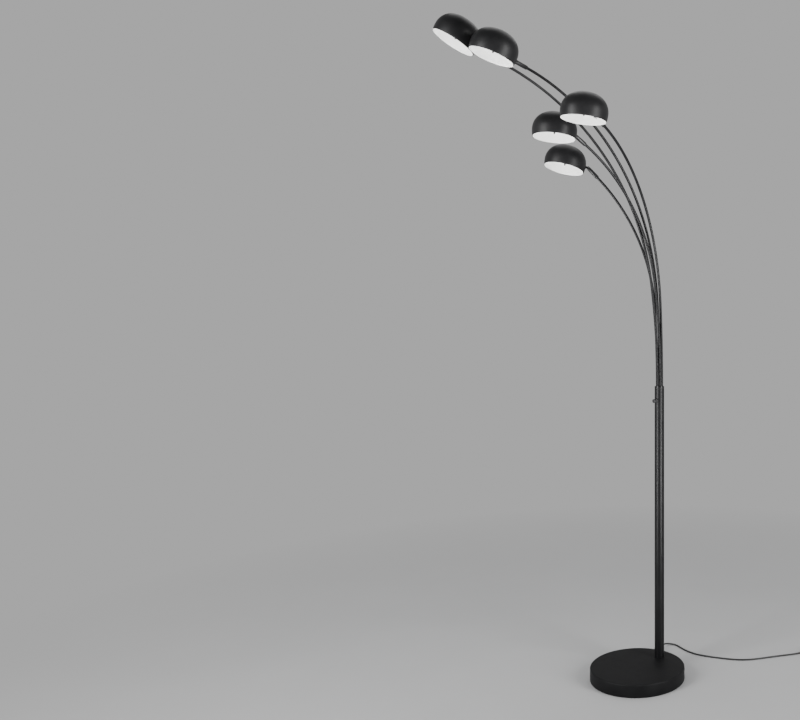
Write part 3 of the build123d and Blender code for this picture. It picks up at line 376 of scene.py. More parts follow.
# %% Pale floor
FADE_START = 0.8
FADE_END = 2.3
floor_paint = finish("floor_paint", ((0.42, 0.42, 0.42), (0.44, 0.44, 0.44)), (0.80, 0.90),
                     grain=240, mottle=1.5, bump=0.05, Specular_IOR_Level=0.15)
floor_mesh.materials.append(floor_paint)
floor_tree = floor_paint.node_tree
distance = floor_tree.nodes.new("ShaderNodeVectorMath")
distance.operation = "LENGTH"
floor_tree.links.new(object_place(floor_tree), distance.inputs[0])
far_away = ramp(floor_tree, distance.outputs["Value"], FADE_START, FADE_END)
backdrop_glow = floor_tree.nodes.new("ShaderNodeEmission")
backdrop_glow.inputs["Color"].default_value = (*PALE, 1)
fade = floor_tree.nodes.new("ShaderNodeMixShader")
floor_tree.links.new(math_node(floor_tree, "MULTIPLY", far_away, looking_rays(floor_tree)),
                     fade.inputs["Fac"])
floor_tree.links.new(floor_tree.nodes["Principled BSDF"].outputs[0], fade.inputs[1])
floor_tree.links.new(backdrop_glow.outputs[0], fade.inputs[2])
floor_tree.links.new(fade.outputs[0], floor_tree.nodes["Material Output"].inputs["Surface"])

# %% [markdown]
# ## Turned, bent and cut shapes
# Nearly all of the lamp is turned, drawn or bent, so a few small tools make most of it: a profile
# turned about an axis, an outline cut from plate, and rings joined into a skin. Each takes
# millimetres in the piece's own frame, and one function stands the piece in the lamp's frame,
# hands it to a CAD body and hides the CAD node that it stands for.

# %% Standing a piece in the lamp
def own_frame(origin, x_way, z_way):
    """The matrix of a local frame with its origin (mm), its X and its Z direction."""
    z_way = z_way.normalized()
    x_way = x_way.normalized()
    matrix = Matrix((x_way, z_way.cross(x_way), z_way)).transposed().to_4x4()
    matrix.translation = origin
    return matrix


X, Y, Z = Vector((1, 0, 0)), Vector((0, 1, 0)), Vector((0, 0, 1))
WORLD = Matrix.Identity(4)


def mesh_of(name, shape, where):
    """A mesh in metres of a shape (vertices, faces) in millimetres in a local frame."""
    vertices, faces = shape
    mesh = bpy.data.meshes.new(name)
    mesh.from_pydata([tuple((where @ Vector(v)) * MM) for v in vertices], [], faces)
    return mesh


def stand(name, shape, materials, body, node, where=WORLD, sharp=35, face_material=None):
    """Make an object of a shape in a local frame, and hand it to its body."""
    mesh = mesh_of(name, shape, where)
    for material in materials if isinstance(materials, list) else [materials]:
        mesh.materials.append(material)
    if face_material:
        mesh.polygons.foreach_set("material_index", face_material)
    mesh.validate()
    mesh.shade_smooth()
    mesh.set_sharp_from_angle(angle=radians(sharp))
    piece = add_object(name, mesh)
    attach(piece, body)
    if node:
        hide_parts(node)
    return piece

# %% Joining shapes
def joined(*shapes):
    """Several shapes as one."""
    vertices, faces = [], []
    for more_vertices, more_faces in shapes:
        start = len(vertices)
        vertices += list(more_vertices)
        faces += [tuple(start + k for k in face) for face in more_faces]
    return vertices, faces


def moved(shape, matrix):
    """A shape carried from its own frame into another."""
    return [tuple(matrix @ Vector(v)) for v in shape[0]], shape[1]


def walls(rows, count, loop=False):
    """Quads between rings of `count` vertices; a loop joins the last ring to the first."""
    faces = []
    for row in range(rows if loop else rows - 1):
        a, b = row * count, (row + 1) % rows * count
        faces += [(a + k, a + (k + 1) % count, b + (k + 1) % count, b + k) for k in range(count)]
    return faces


def ends(rows, count):
    """The two flat faces that close a stack of rings."""
    return [tuple(reversed(range(count))), tuple(range((rows - 1) * count, rows * count))]

# %% Turning a profile
def turned(profile, steps=48, closed=False, swell=None):
    """A profile [(radius, height)] turned about Z. Points on the axis become one vertex."""
    vertices, rings, faces = [], [], []
    for radius, height in profile:
        if radius < 1e-6:
            rings.append([len(vertices)])
            vertices.append((0.0, 0.0, height))
            continue
        rings.append(list(range(len(vertices), len(vertices) + steps)))
        for k in range(steps):
            angle = 2 * pi * k / steps
            reach = radius * (swell(angle, height) if swell else 1.0)
            vertices.append((reach * cos(angle), reach * sin(angle), height))
    pairs = list(zip(rings[:-1], rings[1:])) + ([(rings[-1], rings[0])] if closed else [])
    for low, high in pairs:
        for k in range(steps):
            n = (k + 1) % steps
            face = [low[k % len(low)], low[n % len(low)], high[n % len(high)], high[k % len(high)]]
            face = tuple(dict.fromkeys(face))
            if len(face) > 2:
                faces.append(face)
    return vertices, faces


def softened(points, radius, closed=False, steps=3):
    """A polyline with its corners rounded to a radius, or to what its runs allow."""
    count = len(points)
    result = []
    for k, point in enumerate(points):
        if not closed and k in (0, count - 1):
            result.append(point)
            continue
        here = Vector(point)
        back = Vector(points[k - 1]) - here
        ahead = Vector(points[(k + 1) % count]) - here
        corner = back.angle(ahead, pi)
        if corner > radians(172):
            result.append(point)
            continue
        reach = min(radius / tan(corner / 2), 0.45 * back.length, 0.45 * ahead.length)
        first = here + back.normalized() * reach
        last = here + ahead.normalized() * reach
        for step in range(steps + 1):
            t = step / steps
            result.append(tuple(first * (1 - t)**2 + here * 2 * t * (1 - t) + last * t**2))
    return result

# %% Cutting plate
def plate(outline, thickness, edge):
    """An outline [(x, y)] as a plate centred on Z = 0, its edges broken by a small bevel."""
    vertices = []
    centre = sum((Vector(p) for p in outline), Vector((0, 0))) / len(outline)
    half = thickness / 2
    for inset, height in ((edge, -half), (0, edge - half), (0, half - edge), (edge, half)):
        for p in outline:
            spoke = Vector(p) - centre
            q = centre + spoke * (1 - inset / max(spoke.length, 2 * edge))
            vertices.append((q.x, q.y, height))
    return vertices, walls(4, len(outline)) + ends(4, len(outline))


def arc_points(centre, radius, start, end, steps):
    """Points on an arc, angles in degrees."""
    return [(centre[0] + radius * cos(radians(start + (end - start) * k / steps)),
             centre[1] + radius * sin(radians(start + (end - start) * k / steps)))
            for k in range(steps + 1)]


def hexagon(across_flats, low, high, chamfer):
    """A hexagonal nut with both of its ends chamfered."""
    corner = across_flats / sqrt(3)
    profile = [(0, low), (corner - chamfer, low), (corner, low + chamfer * 0.6),
               (corner, high - chamfer * 0.6), (corner - chamfer, high), (0, high)]
    return turned(profile, steps=6)


print("shape tools ready")

# %% [markdown]
# ## The base
# The foot is a heavy iron disc under a pressed steel cover with a small rounded edge, on a rubber
# pad. The cover shows most: a profile with a true quarter-round edge, turned in many steps, gives
# the thin light line that such an edge catches. The iron disc and the nut inside stay as the CAD
# made them and only get a finish.

# %% Base cover and pad
BASE_DIAMETER = 288.0
BASE_HEIGHT = 38.5
BASE_EDGE = 4.0
COVER_WALL = 1.2
COVER_LIFT = 0.8
TOP_RING_RADIUS = 90.0
PAD_THICKNESS = 3.0
PAD_GAP = 0.3

base_radius = BASE_DIAMETER / 2
edge_centre = (base_radius - BASE_EDGE, BASE_HEIGHT - BASE_EDGE)
cover_profile = [(base_radius - 0.4, COVER_LIFT), (base_radius, COVER_LIFT + 0.5)]
cover_profile += arc_points(edge_centre, BASE_EDGE, 0, 90, 8)
cover_profile += [(TOP_RING_RADIUS, BASE_HEIGHT), (0.0, BASE_HEIGHT)]
cover_profile += [(0.0, BASE_HEIGHT - COVER_WALL), (TOP_RING_RADIUS, BASE_HEIGHT - COVER_WALL)]
cover_profile += arc_points(edge_centre, BASE_EDGE - COVER_WALL, 90, 0, 4)
cover_profile += [(base_radius - COVER_WALL, COVER_LIFT)]
stand("cover_shell", turned(cover_profile, 144, closed=True), base_black, "lamp_stand",
      "base_cover", sharp=50)

pad_radius = base_radius - COVER_WALL - PAD_GAP
pad_profile = [(0.0, 0.0), (pad_radius - 1.2, 0.0), (pad_radius, 0.9),
               (pad_radius, PAD_THICKNESS), (0.0, PAD_THICKNESS)]
stand("rubber_pad", turned(pad_profile, 120), pad_rubber, "lamp_stand", "base_pad")
nodes["base_weight"].material_slots[0].material = cast_iron
nodes["base_nut"].material_slots[0].material = zinc_steel
nodes["pole_foot"].material_slots[0].material = zinc_steel
print("base radius", base_radius, "height", BASE_HEIGHT)

# %% [markdown]
# ## The upright and its plug
# The upright is plain round tube. Its top is closed by a glossy plug with a rounded edge and five
# holes in a ring, one for each arm. Holes are cut with the Boolean modifier, which keeps the plug
# a simple turned body and the holes exactly where the arms are.

# %% Tools that cut
def cut(piece, *cutters):
    """Cut pieces out of a piece and keep the result as its mesh."""
    for tool in cutters:
        modifier = piece.modifiers.new("cut", "BOOLEAN")
        modifier.operation = "DIFFERENCE"
        modifier.solver = "EXACT"
        modifier.object = tool
    graph = bpy.context.evaluated_depsgraph_get()
    result = bpy.data.meshes.new_from_object(piece.evaluated_get(graph))
    piece.modifiers.clear()
    piece.data = result
    result.shade_smooth()
    result.set_sharp_from_angle(angle=radians(35))
    for tool in cutters:
        bpy.data.objects.remove(tool)


def cutter(shape, where):
    """A bare object to cut with."""
    return add_object("cutter", mesh_of("cutter", shape, where))


print("cutting tools ready")

# %% Tube
POLE_X = -96.0
POLE_DIAMETER = 30.0
POLE_WALL = 1.5
POLE_TOP = 884.0
FLANGE_THICKNESS = 3.0
SWITCH_DROP = 45.0
SWITCH_HOLE_RADIUS = 3.6

upright = own_frame((POLE_X, 0, 0), X, Z)
switch_frame = own_frame((POLE_X, 0, POLE_TOP - SWITCH_DROP), Y, X)
pole_radius = POLE_DIAMETER / 2
pole_bore = pole_radius - POLE_WALL
tube_top = POLE_TOP - FLANGE_THICKNESS
tube_profile = [(pole_bore, BASE_HEIGHT), (pole_radius - 0.2, BASE_HEIGHT),
                (pole_radius, BASE_HEIGHT + 0.2), (pole_radius, tube_top - 0.2),
                (pole_radius - 0.2, tube_top), (pole_bore, tube_top)]
steel_tube = stand("steel_tube", turned(tube_profile, 72, closed=True), tube_black, "lamp_stand",
                   "pole", where=upright)
drill = [(0, 5), (SWITCH_HOLE_RADIUS, 5), (SWITCH_HOLE_RADIUS, 25), (0, 25)]
cut(steel_tube, cutter(turned(drill, 32), switch_frame))
print("tube from", BASE_HEIGHT, "to", tube_top)

# %% Numbers of the arms
ARM_DIAMETER = 8.0
ARM_RING_RADIUS = 8.0
# ring angle, heading, rise, lean, radius, turn, twist, tilt
ARMS = [
    (0.0, -9.0, 320.0, 8.7, 767.0, 64.9, -12.9, 11.4),
    (-144.0, 3.0, 281.0, 5.4, 707.0, 70.3, -11.6, 2.1),
    (144.0, 21.0, 254.0, 5.3, 582.0, 65.5, -4.5, -14.1),
    (72.0, -5.0, 317.0, 8.4, 580.0, 49.6, 2.2, -25.3),
    (-72.0, -39.0, 242.0, 3.6, 640.0, 40.4, 10.0, -33.0),
]
ring_feet = [Vector((POLE_X + ARM_RING_RADIUS * cos(radians(ring)),
                     ARM_RING_RADIUS * sin(radians(ring)), POLE_TOP)) for ring, *_ in ARMS]
print("arms:", len(ring_feet))

# %% Plug with five holes
PLUG_DEPTH = 30.0
PLUG_EDGE = 1.1
plug_radius = pole_bore - 0.05
plug_profile = [(0, tube_top - PLUG_DEPTH), (plug_radius, tube_top - PLUG_DEPTH),
                (plug_radius, tube_top), (pole_radius - 0.15, tube_top),
                (pole_radius, tube_top + 0.15)]
plug_profile += arc_points((pole_radius - PLUG_EDGE, POLE_TOP - PLUG_EDGE), PLUG_EDGE, 0, 90, 5)
plug_profile += [(13.0, POLE_TOP), (0.0, POLE_TOP)]
arm_plug = stand("arm_collar", turned(plug_profile, 72), plug_gloss, "lamp_stand", "arm_plug",
                 where=upright)
hole_radius, flare_radius = ARM_DIAMETER / 2 + 0.12, ARM_DIAMETER / 2 + 0.5
hole_profile = [(0, -40), (hole_radius, -40), (hole_radius, -0.4), (flare_radius, 0.05),
                (flare_radius, 5), (0, 5)]
cut(arm_plug, *[cutter(turned(hole_profile, 32), own_frame(foot, X, Z)) for foot in ring_feet])
print("plug vertices:", len(arm_plug.data.vertices))

# %% [markdown]
# ## The rotary switch
# A small fluted knob sits near the top of the upright, on the side that the arms lean over. The
# flutes come from a profile whose radius dips twelve times a turn, so there is nothing to cut.
# It turns with its own CAD body.

# %% Nut and knob
KNOB_DIAMETER = 12.0
KNOB_LENGTH = 9.0
KNOB_FLUTES = 12
FLUTE_DEPTH = 0.075
NUT_FACE = 17.0
stand("switch_hex", hexagon(10.0, 13.9, NUT_FACE, 0.7), zinc_steel, "lamp_stand", "switch_nut",
      where=switch_frame, sharp=20)
nodes["switch_body"].material_slots[0].material = body_plastic


def fluting(angle, height):
    """Share of the radius at the knob's side: it dips at each flute and fades at the front."""
    dip = max(0.0, cos(KNOB_FLUTES * angle))**6
    fading = min(1.0, max(0.0, (knob_front - 0.9 - height) / 1.2))
    return 1.0 - FLUTE_DEPTH * dip * fading


knob_back = NUT_FACE + 0.2
knob_front = knob_back + KNOB_LENGTH
knob_radius = KNOB_DIAMETER / 2
knob_profile = [(0, 11.0), (2.0, 11.0), (2.0, knob_back), (knob_radius - 0.3, knob_back),
                (knob_radius, knob_back + 0.3)]
knob_profile += [(knob_radius, knob_back + 0.3 + k * 0.9) for k in range(1, 9)]
knob_profile += arc_points((knob_radius - 0.8, knob_front - 0.8), 0.8, 0, 90, 4)
knob_profile += [(3.9, knob_front), (3.6, knob_front - 0.35), (2.0, knob_front - 0.5),
                 (0, knob_front - 0.5)]
stand("fluted_knob", turned(knob_profile, 144, swell=fluting), knob_plastic, "switch_knob",
      "switch_knob", where=switch_frame, sharp=40)
print("knob front at x =", POLE_X + knob_front)

# %% [markdown]
# ## Five arms
# Each arm is one thin tube: straight in the plug, then a long gentle arc, then the main arc, all
# in one upright plane. A ring of points is carried along that path. Because the whole path is two
# arcs, the place and direction at every step come from a sine and a cosine, and no curve has to
# be guessed. The numbers are the same as in the CAD source.

# %% Path of an arm
ARM_STRAIGHT = 2.0
ARM_IN_SLEEVE = 14.0
FOOT_BELOW_PLUG = 2.5
GENTLE_STEPS, MAIN_STEPS = 16, 48


def arm_path(foot, heading, rise, lean, radius, turn):
    """(point, direction) pairs along an arm, and the direction square to its plane."""
    heading, lean, turn = radians(heading), radians(lean), radians(turn)
    out = Vector((cos(heading), sin(heading), 0))
    across = Vector((-sin(heading), cos(heading), 0))
    start = foot + Z * ARM_STRAIGHT
    steps = [(foot - Z * (FLANGE_THICKNESS + PLUG_DEPTH + FOOT_BELOW_PLUG), Z)]
    gentle = rise / lean
    for k in range(GENTLE_STEPS + 1):
        a = lean * k / GENTLE_STEPS
        steps.append((start + out * gentle * (1 - cos(a)) + Z * gentle * sin(a),
                      out * sin(a) + Z * cos(a)))
    knee = steps[-1][0]
    for k in range(1, MAIN_STEPS + 1):
        a = lean + turn * k / MAIN_STEPS
        steps.append((knee + out * radius * (cos(lean) - cos(a)) + Z * radius * (sin(a) - sin(lean)),
                      out * sin(a) + Z * cos(a)))
    steps.append((steps[-1][0] + steps[-1][1] * ARM_IN_SLEEVE, steps[-1][1]))
    return steps, across


def bar(steps, across, radius, sides=20):
    """A round bar along (point, direction) pairs that lie in the plane square to `across`."""
    vertices = []
    for point, way in steps:
        side = way.cross(across)
        for k in range(sides):
            a = 2 * pi * k / sides
            vertices.append(tuple(point + across * radius * cos(a) + side * radius * sin(a)))
    return vertices, walls(len(steps), sides) + ends(len(steps), sides)


print("rings along an arm:", GENTLE_STEPS + MAIN_STEPS + 3)

# %% Arms, and the frames of their ends and heads
SLEEVE_LENGTH = 36.0
KNUCKLE_REACH = 6.0
SEAT_HEIGHT = 23.0
PIN_X = 72.0
arm_frames, head_frames = [], []
for number, (foot, (ring, *line, twist, tilt)) in enumerate(zip(ring_feet, ARMS), start=1):
    steps, across = arm_path(foot, *line)
    stand(f"arm_tube_{number}", bar(steps, across, ARM_DIAMETER / 2), tube_black, f"arm_{number}",
          f"arm_{number}")
    end, end_way = steps[-2]
    over = end_way.cross(across)
    pin_way = across * cos(radians(twist)) + over * sin(radians(twist))
    lift = end_way.cross(pin_way)
    stem_way = end_way * cos(radians(tilt)) + lift * sin(radians(tilt))
    crown_way = stem_way.cross(pin_way)
    pin = end + end_way * (SLEEVE_LENGTH + KNUCKLE_REACH)
    rim_centre = pin + stem_way * PIN_X - crown_way * SEAT_HEIGHT
    arm_frames.append(own_frame(end, pin_way, end_way))
    head_frames.append(own_frame(rim_centre, -stem_way, crown_way))
    print(f"arm {number}: rim centre {tuple(round(v, 1) for v in rim_centre)}")

# %% [markdown]
# ## Sleeves and swivel knuckles
# A short black sleeve is pressed on each arm's end. A knuckle turns in its far end: a round
# spigot, a small plate and two cheeks, with a riveted pin between them. A turned body and two
# small plates cut to a rounded outline make it. It rides on the CAD's neck body, so it twists.

# %% Sleeves
SLEEVE_RADIUS, SLEEVE_BORE_RADIUS = 6.0, 4.08

sleeve_profile = softened([(SLEEVE_BORE_RADIUS, 0.0), (SLEEVE_RADIUS, 0.0),
                           (SLEEVE_RADIUS, SLEEVE_LENGTH), (SLEEVE_BORE_RADIUS, SLEEVE_LENGTH)],
                          0.5, closed=True)
for number, where in enumerate(arm_frames, start=1):
    stand(f"arm_sleeve_{number}", turned(sleeve_profile, 40, closed=True), sleeve_black,
          f"arm_{number}", f"sleeve_{number}", where=where)
print("sleeves:", len(arm_frames))

# %% Shape of a knuckle
SPIGOT_RADIUS = 4.0
CHEEK_THICKNESS = 2.7
CHEEK_OFFSET = 3.42
knuckle_z = SLEEVE_LENGTH + KNUCKLE_REACH
fork_bottom = SLEEVE_LENGTH + 0.2

spigot = [(0, fork_bottom - 16), (SPIGOT_RADIUS - 0.4, fork_bottom - 16),
          (SPIGOT_RADIUS, fork_bottom - 15.6), (SPIGOT_RADIUS, fork_bottom)]
spigot += softened([(SPIGOT_RADIUS, fork_bottom), (SLEEVE_RADIUS, fork_bottom),
                    (SLEEVE_RADIUS, fork_bottom + 1.8), (0.0, fork_bottom + 1.8)], 0.35)[1:]
cheek_foot = fork_bottom - knuckle_z + 0.9
cheek = plate([(-3.8, cheek_foot), (3.8, cheek_foot)] + arc_points((0, 0), 4.0, 0, 180, 18),
              CHEEK_THICKNESS, 0.4)
cheeks = [moved(cheek, own_frame((side * CHEEK_OFFSET, 0, knuckle_z), Y, X)) for side in (-1, 1)]
knuckle_shape = joined(turned(spigot, 32), *cheeks)

rivet_half = [(0, 5.75), (1.2, 5.65), (2.0, 5.3), (2.5, 4.85), (1.5, 4.85), (1.5, 0.0)]
rivet_profile = [(r, -h) for r, h in rivet_half] + rivet_half[::-1][1:]
rivet_shape = moved(turned(rivet_profile, 28), own_frame((0, 0, knuckle_z), Y, X))
print("pin", 2 * rivet_half[0][1], "mm long")

# %% Knuckles in place
for number, where in enumerate(arm_frames, start=1):
    stand(f"swivel_fork_{number}", knuckle_shape, sleeve_black, f"neck_{number}",
          f"knuckle_{number}", where=where, sharp=30)
    stand(f"swivel_rivet_{number}", rivet_shape, sleeve_black, f"neck_{number}", None, where=where)
print("swivel pieces:", 2 * len(arm_frames))

# %% [markdown]
# ## The shades
# A shade is spun from thin sheet: it is widest a little above the rim, turns in over a round
# shoulder and closes in a flatter crown. Outside it is satin black, inside white, and the
# narrow edge of the sheet is black too. The dome is one turned profile of arcs, outside and
# inside, and each face gets its paint by the side that it belongs to.

# %% Shade profile
SHADE_RADIUS = 64.0
SHADE_HEIGHT = 74.0
SHADE_WALL = 1.2
WIDEST_HEIGHT = 22.0
SHOULDER_RADIUS = 50.0
RIM_INSET = 2.6
shoulder_x = SHADE_RADIUS - SHOULDER_RADIUS
crown_rise = SHADE_HEIGHT - WIDEST_HEIGHT
crown_radius = ((crown_rise**2 + SHADE_RADIUS**2 - 2 * SHADE_RADIUS * SHOULDER_RADIUS)
                / (2 * crown_rise - 2 * SHOULDER_RADIUS))
crown_turn = degrees(atan2(crown_rise - crown_radius, -shoulder_x)) % 180
skirt_radius = (WIDEST_HEIGHT**2 + RIM_INSET**2) / (2 * RIM_INSET)
skirt_turn = degrees(atan2(WIDEST_HEIGHT, skirt_radius - RIM_INSET))


def dome(inset, steps):
    """The dome's line from rim to crown, moved in by a wall."""
    line = arc_points((SHADE_RADIUS - skirt_radius, WIDEST_HEIGHT), skirt_radius - inset,
                      -skirt_turn, 0, steps // 3)
    line += arc_points((shoulder_x, WIDEST_HEIGHT), SHOULDER_RADIUS - inset, 0, crown_turn,
                       steps)[1:]
    line += arc_points((0, SHADE_HEIGHT - crown_radius), crown_radius - inset, crown_turn, 90,
                       steps // 2)[1:]
    line[-1] = (0.0, line[-1][1])
    return line


STEPS_ROUND = 96
outer_line = dome(0.0, 21)
inner_line = dome(SHADE_WALL, 18)
outer_rim, inner_rim = outer_line[0][0], inner_line[0][0]
lip = [(outer_rim - 0.15, -0.05), (inner_rim + 0.6, -0.22), (inner_rim + 0.15, -0.05)]
shade_shape = turned(outer_line[::-1] + lip + inner_line, STEPS_ROUND)
black_faces = (len(outer_line) + len(lip) - 1) * STEPS_ROUND
paint_of_face = [0 if k < black_faces else 1 for k in range(len(shade_shape[1]))]
print("shade height", SHADE_HEIGHT, "crown radius", round(crown_radius, 1))

# %% Shades in place
for number, where in enumerate(head_frames, start=1):
    stand(f"spun_shade_{number}", shade_shape, [shade_black, shade_white], f"head_{number}",
          f"shade_{number}", where=where, sharp=60,
          face_material=paint_of_face)
print("faces of a shade:", len(shade_shape[1]))

# %% [markdown]
# ## Stem and bracket
# A stem with a flat tongue goes through the shade's wall, and a nut inside clamps a bent bracket
# that reaches over the middle of the opening. The bracket is a flat strip carried along a line
# with rounded bends, as such a bracket is folded.

# %% Stem and nut
THREAD_TOP, THREAD_ROOT, THREAD_STEP = 3.0, 2.75, 0.4
BRACKET_THICKNESS = 1.5

stem_axis = own_frame((0, 0, SEAT_HEIGHT), Y, X)
seat_radius = SHADE_RADIUS - 0.3
tongue = arc_points((PIN_X, SEAT_HEIGHT), 3.7, -120, 120, 20)
tongue += [(seat_radius + 1.0, SEAT_HEIGHT + 3.2), (seat_radius + 1.0, SEAT_HEIGHT - 3.2)]
flange = softened([(2.0, seat_radius), (5.0, seat_radius), (5.0, seat_radius + 1.6),
                   (0.0, seat_radius + 1.6)], 0.4)
thread = [(THREAD_TOP if k % 2 else THREAD_ROOT, seat_radius - 7.4 + THREAD_STEP * k)
          for k in range(19)]
screw = [(0, seat_radius - 7.8), (2.4, seat_radius - 7.8), *thread, (0, seat_radius)]
stem_shape = joined(moved(plate(tongue, 4.0, 0.4), own_frame((0, 0, 0), X, -Y)),
                    moved(turned([(0, seat_radius), *flange], 32), stem_axis),
                    moved(turned(screw, 24), stem_axis))
nut_front = seat_radius - SHADE_WALL - BRACKET_THICKNESS
stem_nut = moved(hexagon(9.0, nut_front - 3.0, nut_front, 0.6), stem_axis)
print("thread points:", len(thread))

# %% Bracket
HOLDER_TOP = 60.5


def strip(line, thickness, width, edge=0.25):
    """A flat strip along a line in the XZ plane, `width` across Y, with its edges broken."""
    vertices = []
    half_t, half_w = thickness / 2, width / 2
    section = [(-half_t, -half_w + edge), (-half_t, half_w - edge), (-half_t + edge, half_w),
               (half_t - edge, half_w), (half_t, half_w - edge), (half_t, -half_w + edge),
               (half_t - edge, -half_w), (-half_t + edge, -half_w)]
    for k, point in enumerate(line):
        before = Vector(line[max(k - 1, 0)])
        after = Vector(line[min(k + 1, len(line) - 1)])
        way = (after - before).normalized()
        for t, w in section:
            vertices.append((point[0] - way.y * t, w, point[1] + way.x * t))
    return vertices, walls(len(line), len(section)) + ends(len(line), len(section))


clamp_x = seat_radius - SHADE_WALL - BRACKET_THICKNESS / 2
bracket_z = HOLDER_TOP + BRACKET_THICKNESS / 2
bracket_line = [(clamp_x, 17.5), (clamp_x, 28.2), (11.6, bracket_z), (-11.0, bracket_z)]
bracket_shape = strip(softened(bracket_line, 3.0, steps=5), BRACKET_THICKNESS, 10.0)
print("bracket at x =", round(clamp_x, 2))

# %% [markdown]
# ## Holder and capsule lamp
# The bracket holds a stepped ceramic holder, and a capsule lamp plugs into it from below. The
# photograph shows only its dark tip, but from below the shade is open, so the lamp gets a clear
# capsule, a tip and a coiled filament on two wires. The tip is opaque and dark: a painted
# refraction standing in for the dark look of clear glass at the tip.

# %% Holder, capsule and tip
HOLDER_RADIUS, NECK_RADIUS, SOCKET_RADIUS = 10.0, 9.0, 7.6
CAPSULE_RADIUS = 6.9
holder_drops = [(0.0, 0.0), (HOLDER_RADIUS, 0.0), (HOLDER_RADIUS, 11.0), (NECK_RADIUS, 11.6),
                (NECK_RADIUS, 22.5), (SOCKET_RADIUS, 22.5), (SOCKET_RADIUS, 17.6), (0.0, 17.6)]
holder_profile = softened([(r, HOLDER_TOP - drop) for r, drop in holder_drops], 0.6)
capsule = [(0.0, 42.4), (5.2, 42.4), (CAPSULE_RADIUS, 41.6), (CAPSULE_RADIUS, 20.0)]
capsule += arc_points((2.9, 20.5), 4.0, 0, -70, 7) + [(3.2, 16.9), (0.0, 16.9)]
tip_profile = [(0.0, 17.3), (3.4, 17.2), (3.3, 16.2), (2.8, 14.8), (2.5, 13.0), (2.1, 11.4),
               (1.3, 10.4), (0.0, 10.05)]
print("capsule", 2 * CAPSULE_RADIUS, "mm across")

# %% Filament
def wire(points, radius, sides=6):
    """A thin wire along points, with its rings square to the line."""
    vertices = []
    for k, point in enumerate(points):
        way = Vector(points[min(k + 1, len(points) - 1)]) - Vector(points[max(k - 1, 0)])
        side = way.cross(Vector((0.31, 0.17, 0.93))).normalized()
        top = way.cross(side).normalized()
        for n in range(sides):
            a = 2 * pi * n / sides
            vertices.append(tuple(Vector(point) + side * radius * cos(a) + top * radius * sin(a)))
    return vertices, walls(len(points), sides)


coiled = [(0.9 * cos(1.3 * k), 0.9 * sin(1.3 * k), 20.0 + 0.28 * k) for k in range(60)]
filament_shape = joined(
    wire(coiled, 0.22),
    wire([(0.9, 0, 20.0), (2.4, 0, 19.0), (3.0, 0, 24.0), (3.0, 0, 42.0)], 0.3),
    wire([(0, 0, 36.8), (-1.5, 0, 38.5), (-3.0, 0, 42.0)], 0.3))
print("filament faces:", len(filament_shape[1]))

# %% Heads in place
# name, shape, finish, CAD node, slot, angle that counts as a sharp edge
HEAD_PIECES = [
    ("swivel_stem", stem_shape, sleeve_black, "shade_stem", "sleeve_black", 30),
    ("stem_hex", stem_nut, zinc_steel, None, "plain_steel", 20),
    ("bent_bracket", bracket_shape, zinc_steel, "holder_bracket", "plain_steel", 30),
    ("ceramic_holder", turned(holder_profile, 40), holder_ceramic, "lamp_holder",
     "holder_ceramic", 35),
    ("capsule_lamp", turned(capsule, 32), bulb_glass, "bulb", "bulb_glass", 80),
    # The tip wears the painted refraction, a dark opaque paint, not glass.
    ("lamp_tip", turned(tip_profile, 20), painted_refraction_tip, None, "bulb_glass", 35),
    ("lamp_filament", filament_shape, pin_steel, None, "plain_steel", 80),
]
for number, where in enumerate(head_frames, start=1):
    for name, shape, material, node, slot, sharp in HEAD_PIECES:
        stand(f"{name}_{number}", shape, material, f"head_{number}",
              f"{node}_{number}" if node else None, where=where, sharp=sharp)
print("heads dressed:", len(head_frames))

# %% [markdown]
# ## The mains lead
# The lead leaves the base through a ribbed strain relief, wanders over the floor and ends in a
# small strapped coil and a plug. It is one curve object with one spline, so every part of it has
# the same round section. Its points are the places that the lead passes; a coil needs a dozen or
# more of them for each turn, or the smooth line would cut across the turns. In the coil the radius
# shrinks by half a pitch each half turn, and the upper layer lies in the lower one's grooves.

# %% Route over the floor
CORD_DIAMETER = 5.0
COIL_CENTRE = (-527.5, 286.0)
RELIEF_TIP = (-162.57, -49.70, 8.0)
floor_route = [
    RELIEF_TIP, (-175.0, -53.5, 8.2), (-187.0, -65.0, 8.6), (-199.0, -83.0, 9.0),
    (-213.0, -98.0, 9.6), (-225.5, -109.2, 10.0), (-238.0, -116.6, 9.2), (-251.0, -118.6, 6.6),
    (-262.7, -113.6, 4.0), (-270.2, -102.2, 2.8), (-270.5, -88.0, 2.5), (-263.0, -62.0, 2.5),
    (-257.0, -31.0, 2.5), (-257.0, 4.0, 2.5), (-266.0, 36.0, 2.5), (-279.0, 68.0, 2.5),
    (-295.0, 102.0, 2.5), (-315.0, 136.0, 2.5), (-341.0, 162.0, 2.5), (-374.0, 182.0, 2.5),
    (-408.0, 199.0, 2.5), (-444.0, 219.0, 2.5), (-477.0, 240.0, 3.0), (-504.5, 250.0, 3.4),
]

# %% Turns of the coil
SIDE_RADII = (36.0, 33.2, 30.4, 27.6, 24.8, 22.0, 27.6, 30.4, 33.2)
LOW_LAYER, HIGH_LAYER = 3.4, 8.85
POINTS_PER_HALF = 8
LOW_SIDES = 5
coil_sides = [(COIL_CENTRE[1] - r * (-1)**k, LOW_LAYER if k < LOW_SIDES else HIGH_LAYER)
              for k, r in enumerate(SIDE_RADII)]
coil_route = []
for half_turn, ((y0, z0), (y1, z1)) in enumerate(zip(coil_sides, coil_sides[1:])):
    middle, half = (y0 + y1) / 2, abs(y1 - y0) / 2
    swing = (half / cos(pi / POINTS_PER_HALF / 2)**2) * (-1 if half_turn % 2 == 0 else 1)
    for n in range(POINTS_PER_HALF):
        t = (n + 0.5) / POINTS_PER_HALF
        coil_route.append((COIL_CENTRE[0] + swing * sin(pi * t),
                           middle - (y1 - y0) / 2 * cos(pi * t) * (abs(swing) / half),
                           z0 + (z1 - z0) * t))
